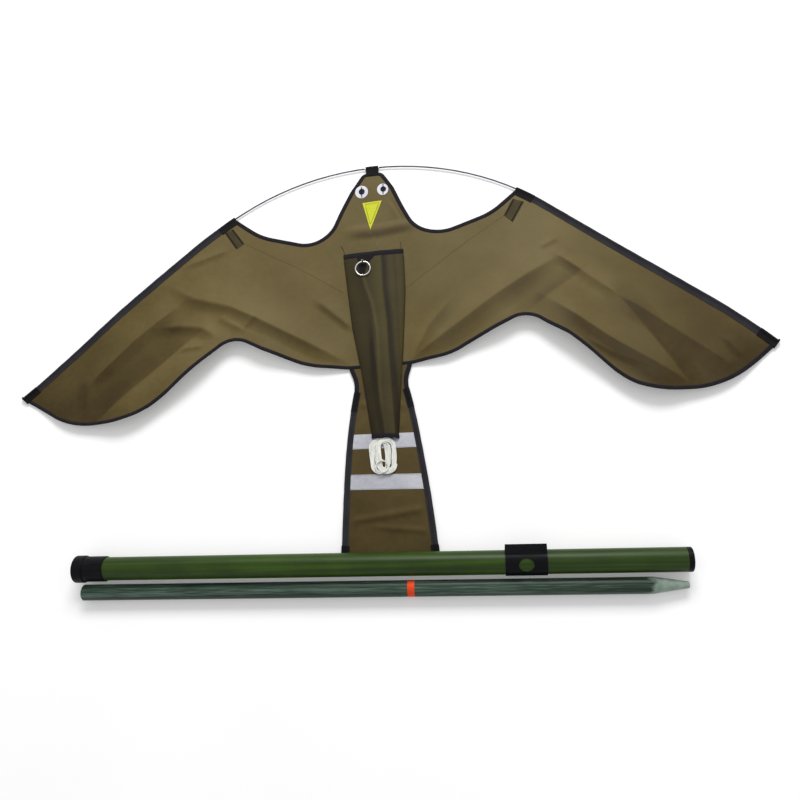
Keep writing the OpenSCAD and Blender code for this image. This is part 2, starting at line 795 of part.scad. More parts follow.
// The hank: round-ended loops that spiral in, climb along a run and spiral out in a second layer.
line_r = line_d / 2;
hank_z = cloth_top + strip_t + 2 * seam_gap + line_r;
hank_outer = hank_w / 2 - line_r;
hank_run = (hank_l - hank_w) / 2;
hank_layer = hank_pitch;
run_rings = 4;
end_rings = loop_rings / 2 - run_rings;
function hank_half(u) = hank_outer - hank_pitch * (u < hank_loops ? u : 2 * hank_loops - u);
function hank_lift(u) = hank_layer * max(0, min(1, (u - hank_loops) * loop_rings / run_rings));
function hank_point(u) =
    let (k = (u - floor(u)) * loop_rings, r = hank_half(u), z = hank_z + hank_lift(u))
    let (side = k < loop_rings / 2 ? 1 : -1, m = side > 0 ? k : k - loop_rings / 2)
    let (a = m < run_rings ? 0 : 180 * (m - run_rings) / end_rings)
    let (y = m < run_rings ? hank_run * (2 * m / run_rings - 1) : hank_run)
    [hank_x + side * r * cos(a), hank_y + side * (y + r * sin(a)), z];
hank_rings = 2 * hank_loops * loop_rings;
hank_line = [for (i = [0:hank_rings]) hank_point(min(i / loop_rings, 2 * hank_loops - 0.0001))];
hank_apart = loop_rings / 2;
hank_gap = min([for (i = [0:hank_rings - hank_apart], j = [i + hank_apart:hank_rings])
    norm(hank_line[i] - hank_line[j])]) - line_d;
echo(least_gap_of_the_hank_to_itself = hank_gap);  // line_hank

// A tube of even sides along a list of points.
module tube_along(line, r, sides) {
    n = len(line);
    last = (n - 1) * sides;
    function heading(i) = unit(line[min(i + 1, n - 1)] - line[max(i - 1, 0)]);
    function across(i) = unit(cross(heading(i), [0, 0, 1]));
    rings = [for (i = [0:n - 1]) let (a = across(i), b = cross(a, heading(i)))
        [for (k = [0:sides - 1]) line[i] + r * (cos(360 * k / sides) * a + sin(360 * k / sides) * b)]];
    skin = [for (i = [0:n - 2], k = [0:sides - 1])
        let (a = i * sides + k, b = i * sides + (k + 1) % sides)
        each [[a, b + sides, a + sides], [a, b, b + sides]]];
    ends = concat(
        [for (k = [1:sides - 2]) [0, k + 1, k]],
        [for (k = [1:sides - 2]) [last, last + k, last + k + 1]]);
    polyhedron([for (r = rings) each r], concat(skin, ends), convexity = 20);
}
module line_hank() {
    color("white") on_kite() tube_along(hank_line, line_r, line_sides);
}

// The loop tied in the line's end lies on the hank's lower bend, with its knot on the hank.
end_loop_r = (end_loop_d - line_d) / 2;
knot_r = knot_d / 2;
knot_angle = asin((knot_r + nudge) / end_loop_r);
module on_end_loop() {
    loop_z = hank_z + hank_layer + line_d + seam_gap;
    on_kite() translate([hank_x, hank_y - hank_l / 2 + end_loop_r, loop_z]) children();
}
module line_end_loop() {
    color("white") on_end_loop() rotate([0, 0, 90 + knot_angle])
        rotate_extrude(angle = 360 - 2 * knot_angle) translate([end_loop_r, 0]) circle(r = line_r);
}
module line_knot() {
    color("white") on_end_loop() translate([0, end_loop_r, 0]) sphere(r = knot_r);
}

// The pole lies on its butt cap's rim, and its tubes nest around one axis.
pole_r = pole_d / 2;
cap_in_r = pole_r + slide_gap;
rim_out_r = cap_in_r + rim_t;
pole_z = rim_out_r;
pole_left = pole_x - pole_l / 2;
base_start = cap_end_t;
base_end = pole_l - collar_l;
nest_start = base_start + socket_l + seam_gap;
nest_end = pole_l - mouth_recess;
function tube_r(i) = pole_r - i * (tube_wall + tube_space);
function tube_bore(i) = tube_r(i) - tube_wall;
tip_end = nest_end - tip_eye_l - seam_gap;
function tube_end(i) = i == sections ? tip_end : nest_end;

// Pieces of the pole are drawn along +Z from the pole's left end.
module on_pole() {
    translate([pole_left, pole_y, pole_z]) rotate([0, 90, 0]) children();
}

module pole_base() {
    color("darkgreen") on_pole() translate([0, 0, base_start]) difference() {
        cylinder(r = pole_r, h = base_end - base_start);
        translate([0, 0, -1]) cylinder(r = tube_bore(0), h = base_end - base_start + 2);
    }
}

module pole_collar() {
    bore = tube_r(1) + slide_gap;
    spigot = tube_bore(0) - nudge;
    color("black") on_pole() rotate_extrude() union() {
        translate([0, base_end]) {
            translate([bore, 0]) square([pole_r - bore, collar_l - collar_r]);
            translate([bore, 0]) square([pole_r - bore - collar_r, collar_l]);
            translate([pole_r - collar_r, collar_l - collar_r]) intersection() {
                circle(r = collar_r);
                square(collar_r);
            }
        }
        translate([bore, base_end - collar_spigot]) square([spigot - bore, collar_spigot]);
    }
}

// A tube with a swelled foot that runs in the tube around it and a neck that guides the tube inside it.
module pole_section(i) {
    length = tube_end(i) - nest_start;
    foot = tube_bore(i - 1) - slide_gap;
    bore = tube_bore(i);
    neck = i == sections ? bore : tube_r(i + 1) + slide_gap;
    color("darkgreen") on_pole() translate([0, 0, nest_start]) rotate_extrude() polygon([
        [bore, 0], [foot, 0], [foot, foot_l], [tube_r(i), foot_l + swell_taper],
        [tube_r(i), length], [neck, length], [neck, length - neck_l],
        [bore, length - neck_l - swell_taper]]);
}
module pole_section_1() {
    pole_section(1);
}
module pole_section_2() {
    pole_section(2);
}
module pole_section_3() {
    pole_section(3);
}
module pole_section_4() {
    pole_section(4);
}
module pole_section_5() {
    pole_section(5);
}

module tip_eye() {
    eye_r = tube_r(sections) - seam_gap;
    eye_z = tip_eye_l - eye_r;
    color("black") on_pole() translate([0, 0, tip_end]) {
        translate([0, 0, -tip_plug_l]) cylinder(r = tube_bore(sections) - nudge, h = tip_plug_l);
        difference() {
            union() {
                translate([0, tip_eye_t / 2, eye_z]) rotate([90, 0, 0]) cylinder(r = eye_r, h = tip_eye_t);
                translate([-eye_r, -tip_eye_t / 2, 0]) cube([2 * eye_r, tip_eye_t, eye_z]);
            }
            translate([0, tip_eye_t, eye_z]) rotate([90, 0, 0])
                cylinder(d = tip_eye_bore, h = 2 * tip_eye_t);
        }
    }
}

module stake_socket() {
    color("black") on_pole() translate([0, 0, base_start]) difference() {
        cylinder(r = tube_bore(0) - nudge, h = socket_l);
        translate([0, 0, -1]) cylinder(r = stake_d / 2 + socket_play, h = socket_l + 2);
    }
}

module butt_cap() {
    sleeve = cap_in_r + cap_t;
    color("black") on_pole() rotate_extrude() difference() {
        union() {
            square([rim_out_r - rim_r, rim_l]);
            translate([0, rim_r]) square([rim_out_r, rim_l - 2 * rim_r]);
            for (y = [rim_r, rim_l - rim_r])
                translate([rim_out_r - rim_r, y]) circle(r = rim_r);
            square([sleeve, cap_l]);
        }
        translate([0, cap_end_t - seam_gap]) square([cap_in_r, cap_l]);
        translate([-rim_out_r, 0]) square([rim_out_r, cap_l]);
    }
}

// The strap wraps the pole and its two ends meet in a flap that reaches back from the top.
// The flap's plies start inside the round, at this share of its radius.
flap_start = 0.9;
module strap_outline(r, reach) {
    low = 2 * atan2(r, reach) - 90;
    start_r = flap_start * r;
    circle(r = r);
    polygon([[0, 0], start_r * [cos(low), sin(low)], [reach, r], [0, start_r]]);
}
module pole_strap() {
    inner = pole_r + slide_gap;
    outer = inner + strap_t;
    color("black") translate([pole_x + strap_x - strap_w / 2, pole_y, pole_z]) difference() {
        rotate([90, 0, 90]) linear_extrude(strap_w) difference() {
            strap_outline(outer, strap_reach);
            strap_outline(inner, strap_reach * inner / outer);
        }
        translate([strap_w / 2, 0, 0]) rotate([strap_hole_turn, 0, 0]) cylinder(d = strap_hole_d, h = 2 * outer);
    }
}

// The stake lies on the floor beside the pole, with its point to the right.
stake_r = stake_d / 2;
stake_y = pole_y - rim_out_r - stake_r - stake_gap;
module on_stake() {
    translate([stake_x - stake_l / 2, stake_y, stake_r]) rotate([0, 90, 0]) children();
}
module stake_rod() {
    mark_low = mark_x - mark_w / 2;
    mark_high = mark_x + mark_w / 2;
    color("darkseagreen") on_stake() rotate_extrude() polygon([
        [0, 0], [stake_r - stake_bevel, 0], [stake_r, stake_bevel],
        [stake_r, mark_low], [stake_r - mark_t, mark_low],
        [stake_r - mark_t, mark_high], [stake_r, mark_high],
        [stake_r, stake_l - point_l], [point_d / 2, stake_l - stake_bevel],
        [point_d / 2 - stake_bevel, stake_l], [0, stake_l]]);
}
module stake_mark() {
    color("orangered") on_stake() translate([0, 0, mark_x - mark_w / 2 + nudge]) difference() {
        cylinder(r = stake_r, h = mark_w - 2 * nudge);
        translate([0, 0, -1]) cylinder(r = stake_r - mark_t + nudge, h = mark_w + 2);
    }
}

sail();
head_binding();
trailing_binding_left();
trailing_binding_right();
leading_sleeve_left();
leading_sleeve_right();
tip_cap_left();
tip_cap_right();
bow_spar_left();
bow_spar_right();
bow_ferrule();
head_loop();
shoulder_patch_left();
shoulder_patch_right();
eye_left();
eye_right();
pupil_left();
pupil_right();
beak();
belly_tunnel();
tunnel_front_hem();
tunnel_rear_hem();
keel_tab();
keel_eyelet();
split_ring();
tail_panel();
tail_tape_left();
tail_tape_right();
tail_sleeve_left();
tail_sleeve_right();
tail_spar_left();
tail_spar_right();
tail_cap_left();
tail_cap_right();
reflective_strip_upper();
reflective_strip_lower();
line_hank();
line_end_loop();
line_knot();
pole_base();
pole_collar();
butt_cap();
stake_socket();
pole_section_1();
pole_section_2();
pole_section_3();
pole_section_4();
pole_section_5();
tip_eye();
pole_strap();
stake_rod();
stake_mark();
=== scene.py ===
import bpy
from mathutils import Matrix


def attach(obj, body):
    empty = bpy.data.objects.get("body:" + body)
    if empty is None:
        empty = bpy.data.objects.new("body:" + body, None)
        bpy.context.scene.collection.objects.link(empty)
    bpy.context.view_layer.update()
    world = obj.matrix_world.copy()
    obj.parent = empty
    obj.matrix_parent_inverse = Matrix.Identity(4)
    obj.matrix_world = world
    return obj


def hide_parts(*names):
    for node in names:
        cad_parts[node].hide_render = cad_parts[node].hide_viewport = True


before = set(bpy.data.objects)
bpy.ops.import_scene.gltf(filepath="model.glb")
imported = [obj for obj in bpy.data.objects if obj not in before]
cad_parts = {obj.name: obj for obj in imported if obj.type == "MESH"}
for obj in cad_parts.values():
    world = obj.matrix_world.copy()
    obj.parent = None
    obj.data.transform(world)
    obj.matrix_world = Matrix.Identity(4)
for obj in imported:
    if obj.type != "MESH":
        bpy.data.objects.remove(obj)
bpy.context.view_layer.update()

import math

import bpy
import numpy as np
from mathutils import Vector

# The kite is drawn in its own millimetres, belly up and head towards +Y, and then laid on the floor.
kite_turn = math.radians(3)
kite_shift = np.array([2.0, -70.0, 0.0])
cloth_z = 4.85
cloth_thick = 0.6
bow_middle = np.array([0.0, -2.0])
bow_radius = 564.0
bow_bend = math.radians(42.7)
wing_tip = (790.0, 36.4)
both_sides = (("left", -1), ("right", 1))


def laid(points):
    """Kite millimetres to metres on the floor, with the cloth flexed as it lies."""
    points = np.array(points, float).reshape(-1, 3)
    points[:, 0], points[:, 1] = flexed(points[:, 0], points[:, 1])
    cos, sin = math.cos(kite_turn), math.sin(kite_turn)
    x = points[:, 0] * cos - points[:, 1] * sin
    y = points[:, 0] * sin + points[:, 1] * cos
    return (np.stack([x, y, points[:, 2]], 1) + kite_shift) / 1000


# Camera and softbox

bpy.ops.object.select_all(action="DESELECT")
bpy.ops.object.camera_add(
    location=(0.1959, -0.6822, 1.4143),
    rotation=(math.radians(22.308), math.radians(6.22), math.radians(0.172)),
)
camera = bpy.context.object
camera.data.lens = 33.75
camera.data.sensor_width = 36
bpy.context.scene.camera = camera
bpy.context.scene.view_settings.view_transform = "Standard"

bpy.ops.object.light_add(type="AREA", location=(0.45, 3.4, 3.5))
softbox = bpy.context.object
softbox.name = "softbox"
softbox_aim = Vector((0.05, 0.1, 0)) - softbox.location
softbox.rotation_euler = softbox_aim.to_track_quat("-Z", "Y").to_euler()
softbox.data.shape = "RECTANGLE"
softbox.data.size = 2.6
softbox.data.size_y = 1.9
softbox.data.energy = 185


# Nodes: small helpers

def feed(tree, socket, value):
    """Sets a socket to a plain value or links it to another node's output."""
    if isinstance(value, (int, float, tuple)):
        socket.default_value = value
    else:
        tree.links.new(value, socket)


def node(tree, kind, sockets=None, **settings):
    made = tree.nodes.new("ShaderNode" + kind)
    for name, value in settings.items():
        setattr(made, name, value)
    for key, value in (sockets or {}).items():
        feed(tree, made.inputs[key], value)
    return made


def sums(tree, operation, first, second=0):
    return node(tree, "Math", {0: first, 1: second}, operation=operation).outputs[0]


def weighted(tree, *terms):
    """Adds up the terms (value, weight)."""
    total = None
    for value, weight in terms:
        part = sums(tree, "MULTIPLY", value, weight)
        total = part if total is None else sums(tree, "ADD", total, part)
    return total


def stretched(tree, value, low, high, **settings):
    """Spreads the range from low to high out to 0 to 1."""
    sockets = {"Value": value, "From Min": low, "From Max": high}
    return node(tree, "MapRange", sockets, **settings).outputs["Result"]


def between(tree, share, low, high):
    """Low where the share is 0, high where it is 1."""
    return node(tree, "MapRange", {"Value": share, "To Min": low, "To Max": high}).outputs["Result"]


def mixed(tree, share, first, second):
    return node(tree, "Mix", {0: share, 6: first, 7: second}, data_type="RGBA").outputs[2]


def ink(red, green, blue):
    """A colour read as 0 to 255, made linear."""
    shares = [value / 255 for value in (red, green, blue)]
    return tuple(s / 12.92 if s <= 0.04045 else ((s + 0.055) / 1.055) ** 2.4 for s in shares) + (1,)


def shades(tree, share, *stops):
    """A colour ramp through the stops (position, colour from 0 to 255)."""
    ramp = node(tree, "ValToRGB", {"Fac": share})
    elements = ramp.color_ramp.elements
    for element, (position, colour) in zip(elements, (stops[0], stops[-1])):
        element.position = position
        element.color = ink(*colour)
    for position, colour in stops[1:-1]:
        elements.new(position).color = ink(*colour)
    return ramp.outputs["Color"]


def place_in(tree, kind):
    return node(tree, "TexCoord").outputs[kind]


def seen_directly(tree):
    """1 for rays from the camera, from a reflection or through a clear piece."""
    rays = node(tree, "LightPath").outputs
    passed_on = sums(tree, "MAXIMUM", rays["Is Glossy Ray"], rays["Is Transmission Ray"])
    return sums(tree, "MAXIMUM", rays["Is Camera Ray"], passed_on)


# The sky lights the scene evenly and is seen as white

world = bpy.data.worlds.new("studio")
bpy.context.scene.world = world
world.use_nodes = True
sky = world.node_tree
sky_light = sky.nodes["Background"]
sky_light.inputs["Color"].default_value = (1, 1, 1, 1)
sky_light.inputs["Strength"].default_value = 0.62
white = node(sky, "Background", {"Color": (1, 1, 1, 1)})
either = node(sky, "MixShader", {0: seen_directly(sky), 1: sky_light.outputs[0], 2: white.outputs[0]})
feed(sky, sky.nodes["World Output"].inputs["Surface"], either.outputs[0])


# Finishes: the shared node groups, then one function for each kind of material

def group_with(name, numbers, output):
    """Starts a node group and gives it with its inputs' sockets and its output's socket."""
    group = bpy.data.node_groups.new(name, "ShaderNodeTree")
    group.interface.new_socket("Place", in_out="INPUT", socket_type="NodeSocketVector")
    for number, value in numbers.items():
        socket = group.interface.new_socket(number, in_out="INPUT", socket_type="NodeSocketFloat")
        socket.default_value = value
    group.interface.new_socket(output, in_out="OUTPUT", socket_type="NodeSocketFloat")
    given = group.nodes.new("NodeGroupInput").outputs
    return group, given, group.nodes.new("NodeGroupOutput").inputs[output]


def make_weave():
    """Plain weave: crossing threads that go over and under."""
    group, given, height = group_with("plain_weave", {"Threads": 1500}, "Height")
    turns = sums(group, "MULTIPLY", given["Threads"], 2 * math.pi)
    scaled = node(group, "VectorMath", {0: given["Place"], "Scale": turns}, operation="SCALE")
    parts = node(group, "SeparateXYZ", {0: scaled.outputs[0]}).outputs
    warp = sums(group, "SINE", parts[0])
    weft = sums(group, "SINE", parts[1])
    half = sums(group, "MULTIPLY", sums(group, "MULTIPLY", warp, weft), 0.5)
    feed(group, height, sums(group, "ADD", half, 0.5))
    return group


def make_mottle():
    """Cloudy variation, spread out to the whole range from 0 to 1."""
    group, given, value = group_with("mottle", {"Scale": 10, "Detail": 4}, "Value")
    sockets = {"Vector": given["Place"], "Scale": given["Scale"], "Detail": given["Detail"]}
    cloud = node(group, "TexNoise", sockets)
    feed(group, value, stretched(group, cloud.outputs["Fac"], 0.3, 0.7))
    return group


def make_streaks():
    """Long streaks along X, as drawn fibres or rubbing leave them."""
    group, given, value = group_with("streaks", {"Scale": 90, "Stretch": 0.04}, "Value")
    parts = node(group, "SeparateXYZ", {0: given["Place"]}).outputs
    along = sums(group, "MULTIPLY", parts[0], given["Stretch"])
    drawn = node(group, "CombineXYZ", {0: along, 1: parts[1], 2: parts[2]})
    cloud = node(group, "TexNoise", {"Vector": drawn.outputs[0], "Scale": given["Scale"], "Detail": 5})
    feed(group, value, stretched(group, cloud.outputs["Fac"], 0.34, 0.66))
    return group


plain_weave = make_weave()
mottle = make_mottle()
streaks = make_streaks()


def effect(tree, group, place, **numbers):
    return node(tree, "Group", {"Place": place, **numbers}, node_tree=group).outputs[0]


def start_finish(name):
    finish = bpy.data.materials.new(name)
    finish.use_nodes = True
    return finish, finish.node_tree


def wear(finish, colour, rough, others, relief=None):
    """Feeds the finish's shader; relief is the bump's height, distance and strength."""
    tree = finish.node_tree
    sockets = {"Base Color": colour, "Roughness": rough, **others}
    if relief:
        bump = node(tree, "Bump", dict(zip(("Height", "Distance", "Strength"), relief)))
        sockets["Normal"] = bump.outputs["Normal"]
    for name, value in sockets.items():
        feed(tree, tree.nodes["Principled BSDF"].inputs[name], value)
    return finish


def cloth_finish(name, dark, middle, light, threads, relief, rough, clouds, sheen=0.02, with_painted_shade=False):
    """Woven cloth with so many threads to the metre; with painted shade, it takes painted light and shade
    from its own attribute.
    """
    finish, tree = start_finish(name)
    place = place_in(tree, "UV")
    weave = effect(tree, plain_weave, place, Threads=threads)
    cloud = effect(tree, mottle, place, Scale=clouds)
    fine = effect(tree, mottle, place, Scale=clouds * 9, Detail=6)
    share = weighted(tree, (cloud, 0.28), (fine, 0.14), (weave, 0.16))
    if with_painted_shade:
        # Painted light and shade: the attribute lightens and darkens the cloth as the lamps would
        crease_with_painted_shade = node(tree, "Attribute", attribute_name="crease_with_painted_shade").outputs["Fac"]
        share = weighted(tree, (share, 0.5), (crease_with_painted_shade, 0.72))
    else:
        share = sums(tree, "ADD", share, 0.2)
    colour = shades(tree, share, (0.1, dark), (0.5, middle), (0.9, light))
    roughness = between(tree, fine, rough - 0.06, rough + 0.08)
    nap = {"Sheen Weight": sheen, "Sheen Roughness": 0.4, "Specular IOR Level": 0.12}
    return wear(finish, colour, roughness, nap, (weave, relief, 0.6))


def plastic_finish(name, dark, light, rough, grain):
    """Moulded plastic, faintly clouded and rubbed along X."""
    finish, tree = start_finish(name)
    place = place_in(tree, "Object")
    cloud = effect(tree, mottle, place, Scale=40)
    rubbed = effect(tree, streaks, place, Scale=260, Stretch=0.1)
    fine = effect(tree, mottle, place, Scale=1400, Detail=2)
    share = weighted(tree, (cloud, 0.5), (rubbed, 0.5))
    colour = shades(tree, share, (0.2, dark), (0.85, light))
    roughness = between(tree, share, rough - 0.08, rough + 0.12)
    return wear(finish, colour, roughness, {"Specular IOR Level": 0.07}, (fine, grain, 0.5))


def metal_finish(name, dark, light, rough):
    finish, tree = start_finish(name)
    place = place_in(tree, "Object")
    cloud = effect(tree, mottle, place, Scale=300)
    drawn = effect(tree, streaks, place, Scale=2500, Stretch=0.2)
    colour = shades(tree, cloud, (0.1, dark), (0.8, light))
    roughness = between(tree, cloud, rough + 0.1, rough)
    return wear(finish, colour, roughness, {"Metallic": 1.0}, (drawn, 0.00003, 0.4))


def pole_finish():
    """Green lacquer over drawn fibres."""
    finish, tree = start_finish("pole_lacquer")
    place = place_in(tree, "Object")
    drawn = effect(tree, streaks, place, Scale=150, Stretch=0.02)
    cloud = effect(tree, mottle, place, Scale=14)
    share = weighted(tree, (drawn, 0.6), (cloud, 0.4))
    colour = shades(tree, share, (0.1, (24, 43, 1)), (0.6, (38, 61, 4)), (1.0, (52, 80, 11)))
    roughness = between(tree, drawn, 0.34, 0.44)
    return wear(finish, colour, roughness, {"Specular IOR Level": 0.2}, (drawn, 0.00008, 0.5))


def stake_finish():
    """Drawn fibreglass, ground bare and pale at its point."""
    finish, tree = start_finish("stake_fibreglass")
    place = place_in(tree, "Object")
    drawn = effect(tree, streaks, place, Scale=120, Stretch=0.015)
    fibre = effect(tree, streaks, place, Scale=700, Stretch=0.03)
    cloud = effect(tree, mottle, place, Scale=60, Detail=6)
    share = weighted(tree, (drawn, 0.55), (fibre, 0.45))
    rod = shades(tree, share, (0.12, (16, 30, 21)), (0.5, (40, 58, 46)), (0.9, (84, 104, 92)))
    ground = shades(tree, cloud, (0.0, (112, 130, 118)), (1.0, (152, 168, 156)))
    along = node(tree, "SeparateXYZ", {0: place}).outputs[0]
    frayed = sums(tree, "ADD", along, sums(tree, "MULTIPLY", cloud, 0.012))
    bare = stretched(tree, frayed, 0.494, 0.503)
    roughness = between(tree, share, 0.28, 0.45)
    gloss = {"Specular IOR Level": 0.18}
    return wear(finish, mixed(tree, bare, rod, ground), roughness, gloss, (fibre, 0.0001, 0.5))


def reflective_finish():
    """Silver cloth with a fine moulded lattice."""
    finish, tree = start_finish("reflective_film")
    place = place_in(tree, "UV")
    lattice = effect(tree, plain_weave, place, Threads=400)
    cloud = effect(tree, mottle, place, Scale=12)
    fine = effect(tree, mottle, place, Scale=140, Detail=6)
    share = weighted(tree, (cloud, 0.5), (lattice, 0.25), (fine, 0.2))
    colour = shades(tree, share, (0.1, (146, 147, 154)), (0.5, (166, 167, 174)), (0.95, (186, 187, 192)))
    roughness = between(tree, cloud, 0.38, 0.55)
    film = {"Metallic": between(tree, fine, 0.1, 0.3), "Coat Weight": 0.3, "Coat Roughness": 0.25}
    return wear(finish, colour, roughness, film, (lattice, 0.00006, 0.5))


def braid_finish():
    """White braided line: strands cross round it on its own map."""
    finish, tree = start_finish("braided_line")
    place = place_in(tree, "UV")
    turned = node(tree, "Mapping", {"Vector": place, "Rotation": (0, 0, math.radians(45))})
    strands = effect(tree, plain_weave, turned.outputs[0], Threads=520)
    cloud = effect(tree, mottle, place, Scale=60)
    share = weighted(tree, (strands, 0.5), (cloud, 0.5))
    colour = shades(tree, share, (0.0, (186, 186, 178)), (0.5, (224, 224, 218)), (1.0, (242, 242, 238)))
    roughness = between(tree, cloud, 0.6, 0.75)
    return wear(finish, colour, roughness, {"Sheen Weight": 0.15}, (strands, 0.0002, 0.8))


# The nylon cloths, sail and tunnel, carry painted light and shade from their attribute
nylon = {"threads": 1400, "relief": 0.00012, "with_painted_shade": True}
face_cloth = {"threads": 1200, "relief": 0.0002}
sewing = {"threads": 3000, "relief": 0.00005, "rough": 0.7, "clouds": 200}
sail_finish = cloth_finish(
    "sail_nylon", (50, 38, 6), (87, 74, 39), (114, 103, 66), rough=0.5, clouds=9, sheen=0.04, **nylon
)
tunnel_finish = cloth_finish(
    "tunnel_nylon", (26, 20, 6), (55, 48, 22), (82, 74, 40), rough=0.55, clouds=12, sheen=0.03, **nylon
)
tape_finish = cloth_finish(
    "black_tape", (14, 12, 17), (23, 21, 27), (40, 37, 44),
    threads=900, relief=0.00025, rough=0.75, clouds=40,
)
sleeve_finish = cloth_finish(
    "sleeve_cloth", (22, 21, 25), (36, 35, 40), (56, 55, 60),
    threads=1100, relief=0.0002, rough=0.62, clouds=24,
)
webbing_finish = cloth_finish(
    "black_webbing", (10, 9, 12), (18, 17, 20), (34, 32, 36),
    threads=600, relief=0.0004, rough=0.8, clouds=40,
)
patch_finish = cloth_finish(
    "patch_cloth", (40, 33, 14), (56, 48, 26), (76, 67, 42),
    threads=1000, relief=0.0002, rough=0.6, clouds=30,
)
eye_finish = cloth_finish(
    "eye_cloth", (190, 190, 200), (212, 212, 220), (228, 228, 232), rough=0.6, clouds=40, **face_cloth
)
pupil_finish = cloth_finish(
    "pupil_cloth", (8, 9, 22), (14, 16, 32), (28, 30, 48), rough=0.55, clouds=60, **face_cloth
)
beak_finish = cloth_finish(
    "beak_cloth", (168, 172, 36), (196, 199, 48), (212, 214, 74), rough=0.6, clouds=30, **face_cloth
)
thread_finish = cloth_finish("black_thread", (12, 11, 12), (22, 20, 22), (38, 35, 36), **sewing)
olive_thread = cloth_finish("olive_thread", (50, 42, 16), (70, 60, 26), (92, 82, 40), **sewing)
grey_thread = cloth_finish("grey_thread", (110, 110, 116), (132, 132, 138), (158, 158, 162), **sewing)
cap_finish = plastic_finish("cap_plastic", (6, 6, 8), (17, 17, 20), rough=0.45, grain=0.00005)
spar_finish = plastic_finish("spar_fibreglass", (72, 68, 82), (112, 108, 122), rough=0.45, grain=0.00002)
pole_black = plastic_finish("pole_plastic", (6, 6, 9), (16, 16, 20), rough=0.42, grain=0.00004)
strap_finish = plastic_finish("strap_sheet", (4, 5, 7), (14, 14, 17), rough=0.42, grain=0.00003)
mark_finish = plastic_finish("mark_tape", (214, 66, 34), (234, 86, 48), rough=0.5, grain=0.00003)
brass_finish = metal_finish("eyelet_brass", (120, 112, 62), (176, 168, 112), rough=0.28)
steel_finish = metal_finish("ring_steel", (176, 172, 170), (222, 218, 216), rough=0.2)
lacquer = pole_finish()
fibreglass = stake_finish()
silver = reflective_finish()
braid = braid_finish()

for finish, cad_names in (
    (steel_finish, ["bow_ferrule"]),
    (brass_finish, ["keel_eyelet"]),
    (lacquer, ["pole_base"] + [f"pole_section_{k}" for k in range(1, 6)]),
    (pole_black, ["pole_collar", "stake_socket", "butt_cap", "tip_eye"]),
    (strap_finish, ["pole_strap"]),
    (fibreglass, ["stake_rod"]),
    (mark_finish, ["stake_mark"]),
):
    for cad_name in cad_names:
        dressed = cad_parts[cad_name]
        if not dressed.material_slots:
            dressed.data.materials.append(finish)
        for material_slot in dressed.material_slots:
            material_slot.material = finish


# Making pieces: cloth is cut from a grid, tapes and tubes are grids wrapped round a line

def hold(piece):
    bpy.ops.object.select_all(action="DESELECT")
    piece.select_set(True)
    bpy.context.view_layer.objects.active = piece


def with_modifier(piece, kind, **settings):
    hold(piece)
    bpy.ops.object.modifier_add(type=kind)
    added = piece.modifiers[-1]
    for name, value in settings.items():
        setattr(added, name, value)
    bpy.ops.object.modifier_apply(modifier=added.name)


def points_of(piece):
    flat = np.empty(len(piece.data.vertices) * 3)
    piece.data.vertices.foreach_get("co", flat)
    return flat.reshape(-1, 3)


def move_points(piece, points):
    piece.data.vertices.foreach_set("co", np.asarray(points, float).ravel())
    piece.data.update()


def map_points(piece, flat):
    """Gives each corner the flat place of its point, in metres."""
    corners = np.empty(len(piece.data.loops), int)
    piece.data.loops.foreach_get("vertex_index", corners)
    piece.data.uv_layers[0].data.foreach_set("uv", np.asarray(flat, float)[corners].ravel())


def grid(name, columns, rows):
    """A flat grid, and the shares across and along it of its points."""
    bpy.ops.object.select_all(action="DESELECT")
    bpy.ops.mesh.primitive_grid_add(
        x_subdivisions=columns, y_subdivisions=rows, size=2, location=(0, 0, 0)
    )
    piece = bpy.context.object
    piece.name = name
    places = (points_of(piece)[:, :2] + 1) / 2
    return piece, places[:, 0], places[:, 1]


def sewn_on(piece, body, finish, slot, *nodes):
    piece.data.materials.clear()
    piece.data.materials.append(finish)
    hold(piece)
    bpy.ops.object.shade_smooth_by_angle(angle=math.radians(50))
    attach(piece, body)
    if nodes:
        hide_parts(*nodes)
    return piece


def cut_cloth(name, columns, rows, place, thick=cloth_thick, tone=None):
    """place turns shares across and along into kite millimetres, and tone gives the painted light and
    shade of the cloth.
    """
    piece, across, along = grid(name, columns, rows)
    points = place(across, along)
    move_points(piece, laid(points))
    map_points(piece, points[:, :2] / 1000)
    if tone:
        # The attribute holds painted light and shade for the finish
        shade = piece.data.attributes.new("crease_with_painted_shade", "FLOAT", "POINT")
        shade.data.foreach_set("value", tone(points))
    with_modifier(piece, "SOLIDIFY", thickness=thick / 1000, offset=0)
    return piece


def steps(line):
    return np.linalg.norm(np.diff(line, axis=0), axis=1)


def headings(line):
    run = np.gradient(line, axis=0)
    return run / np.linalg.norm(run, axis=1, keepdims=True)


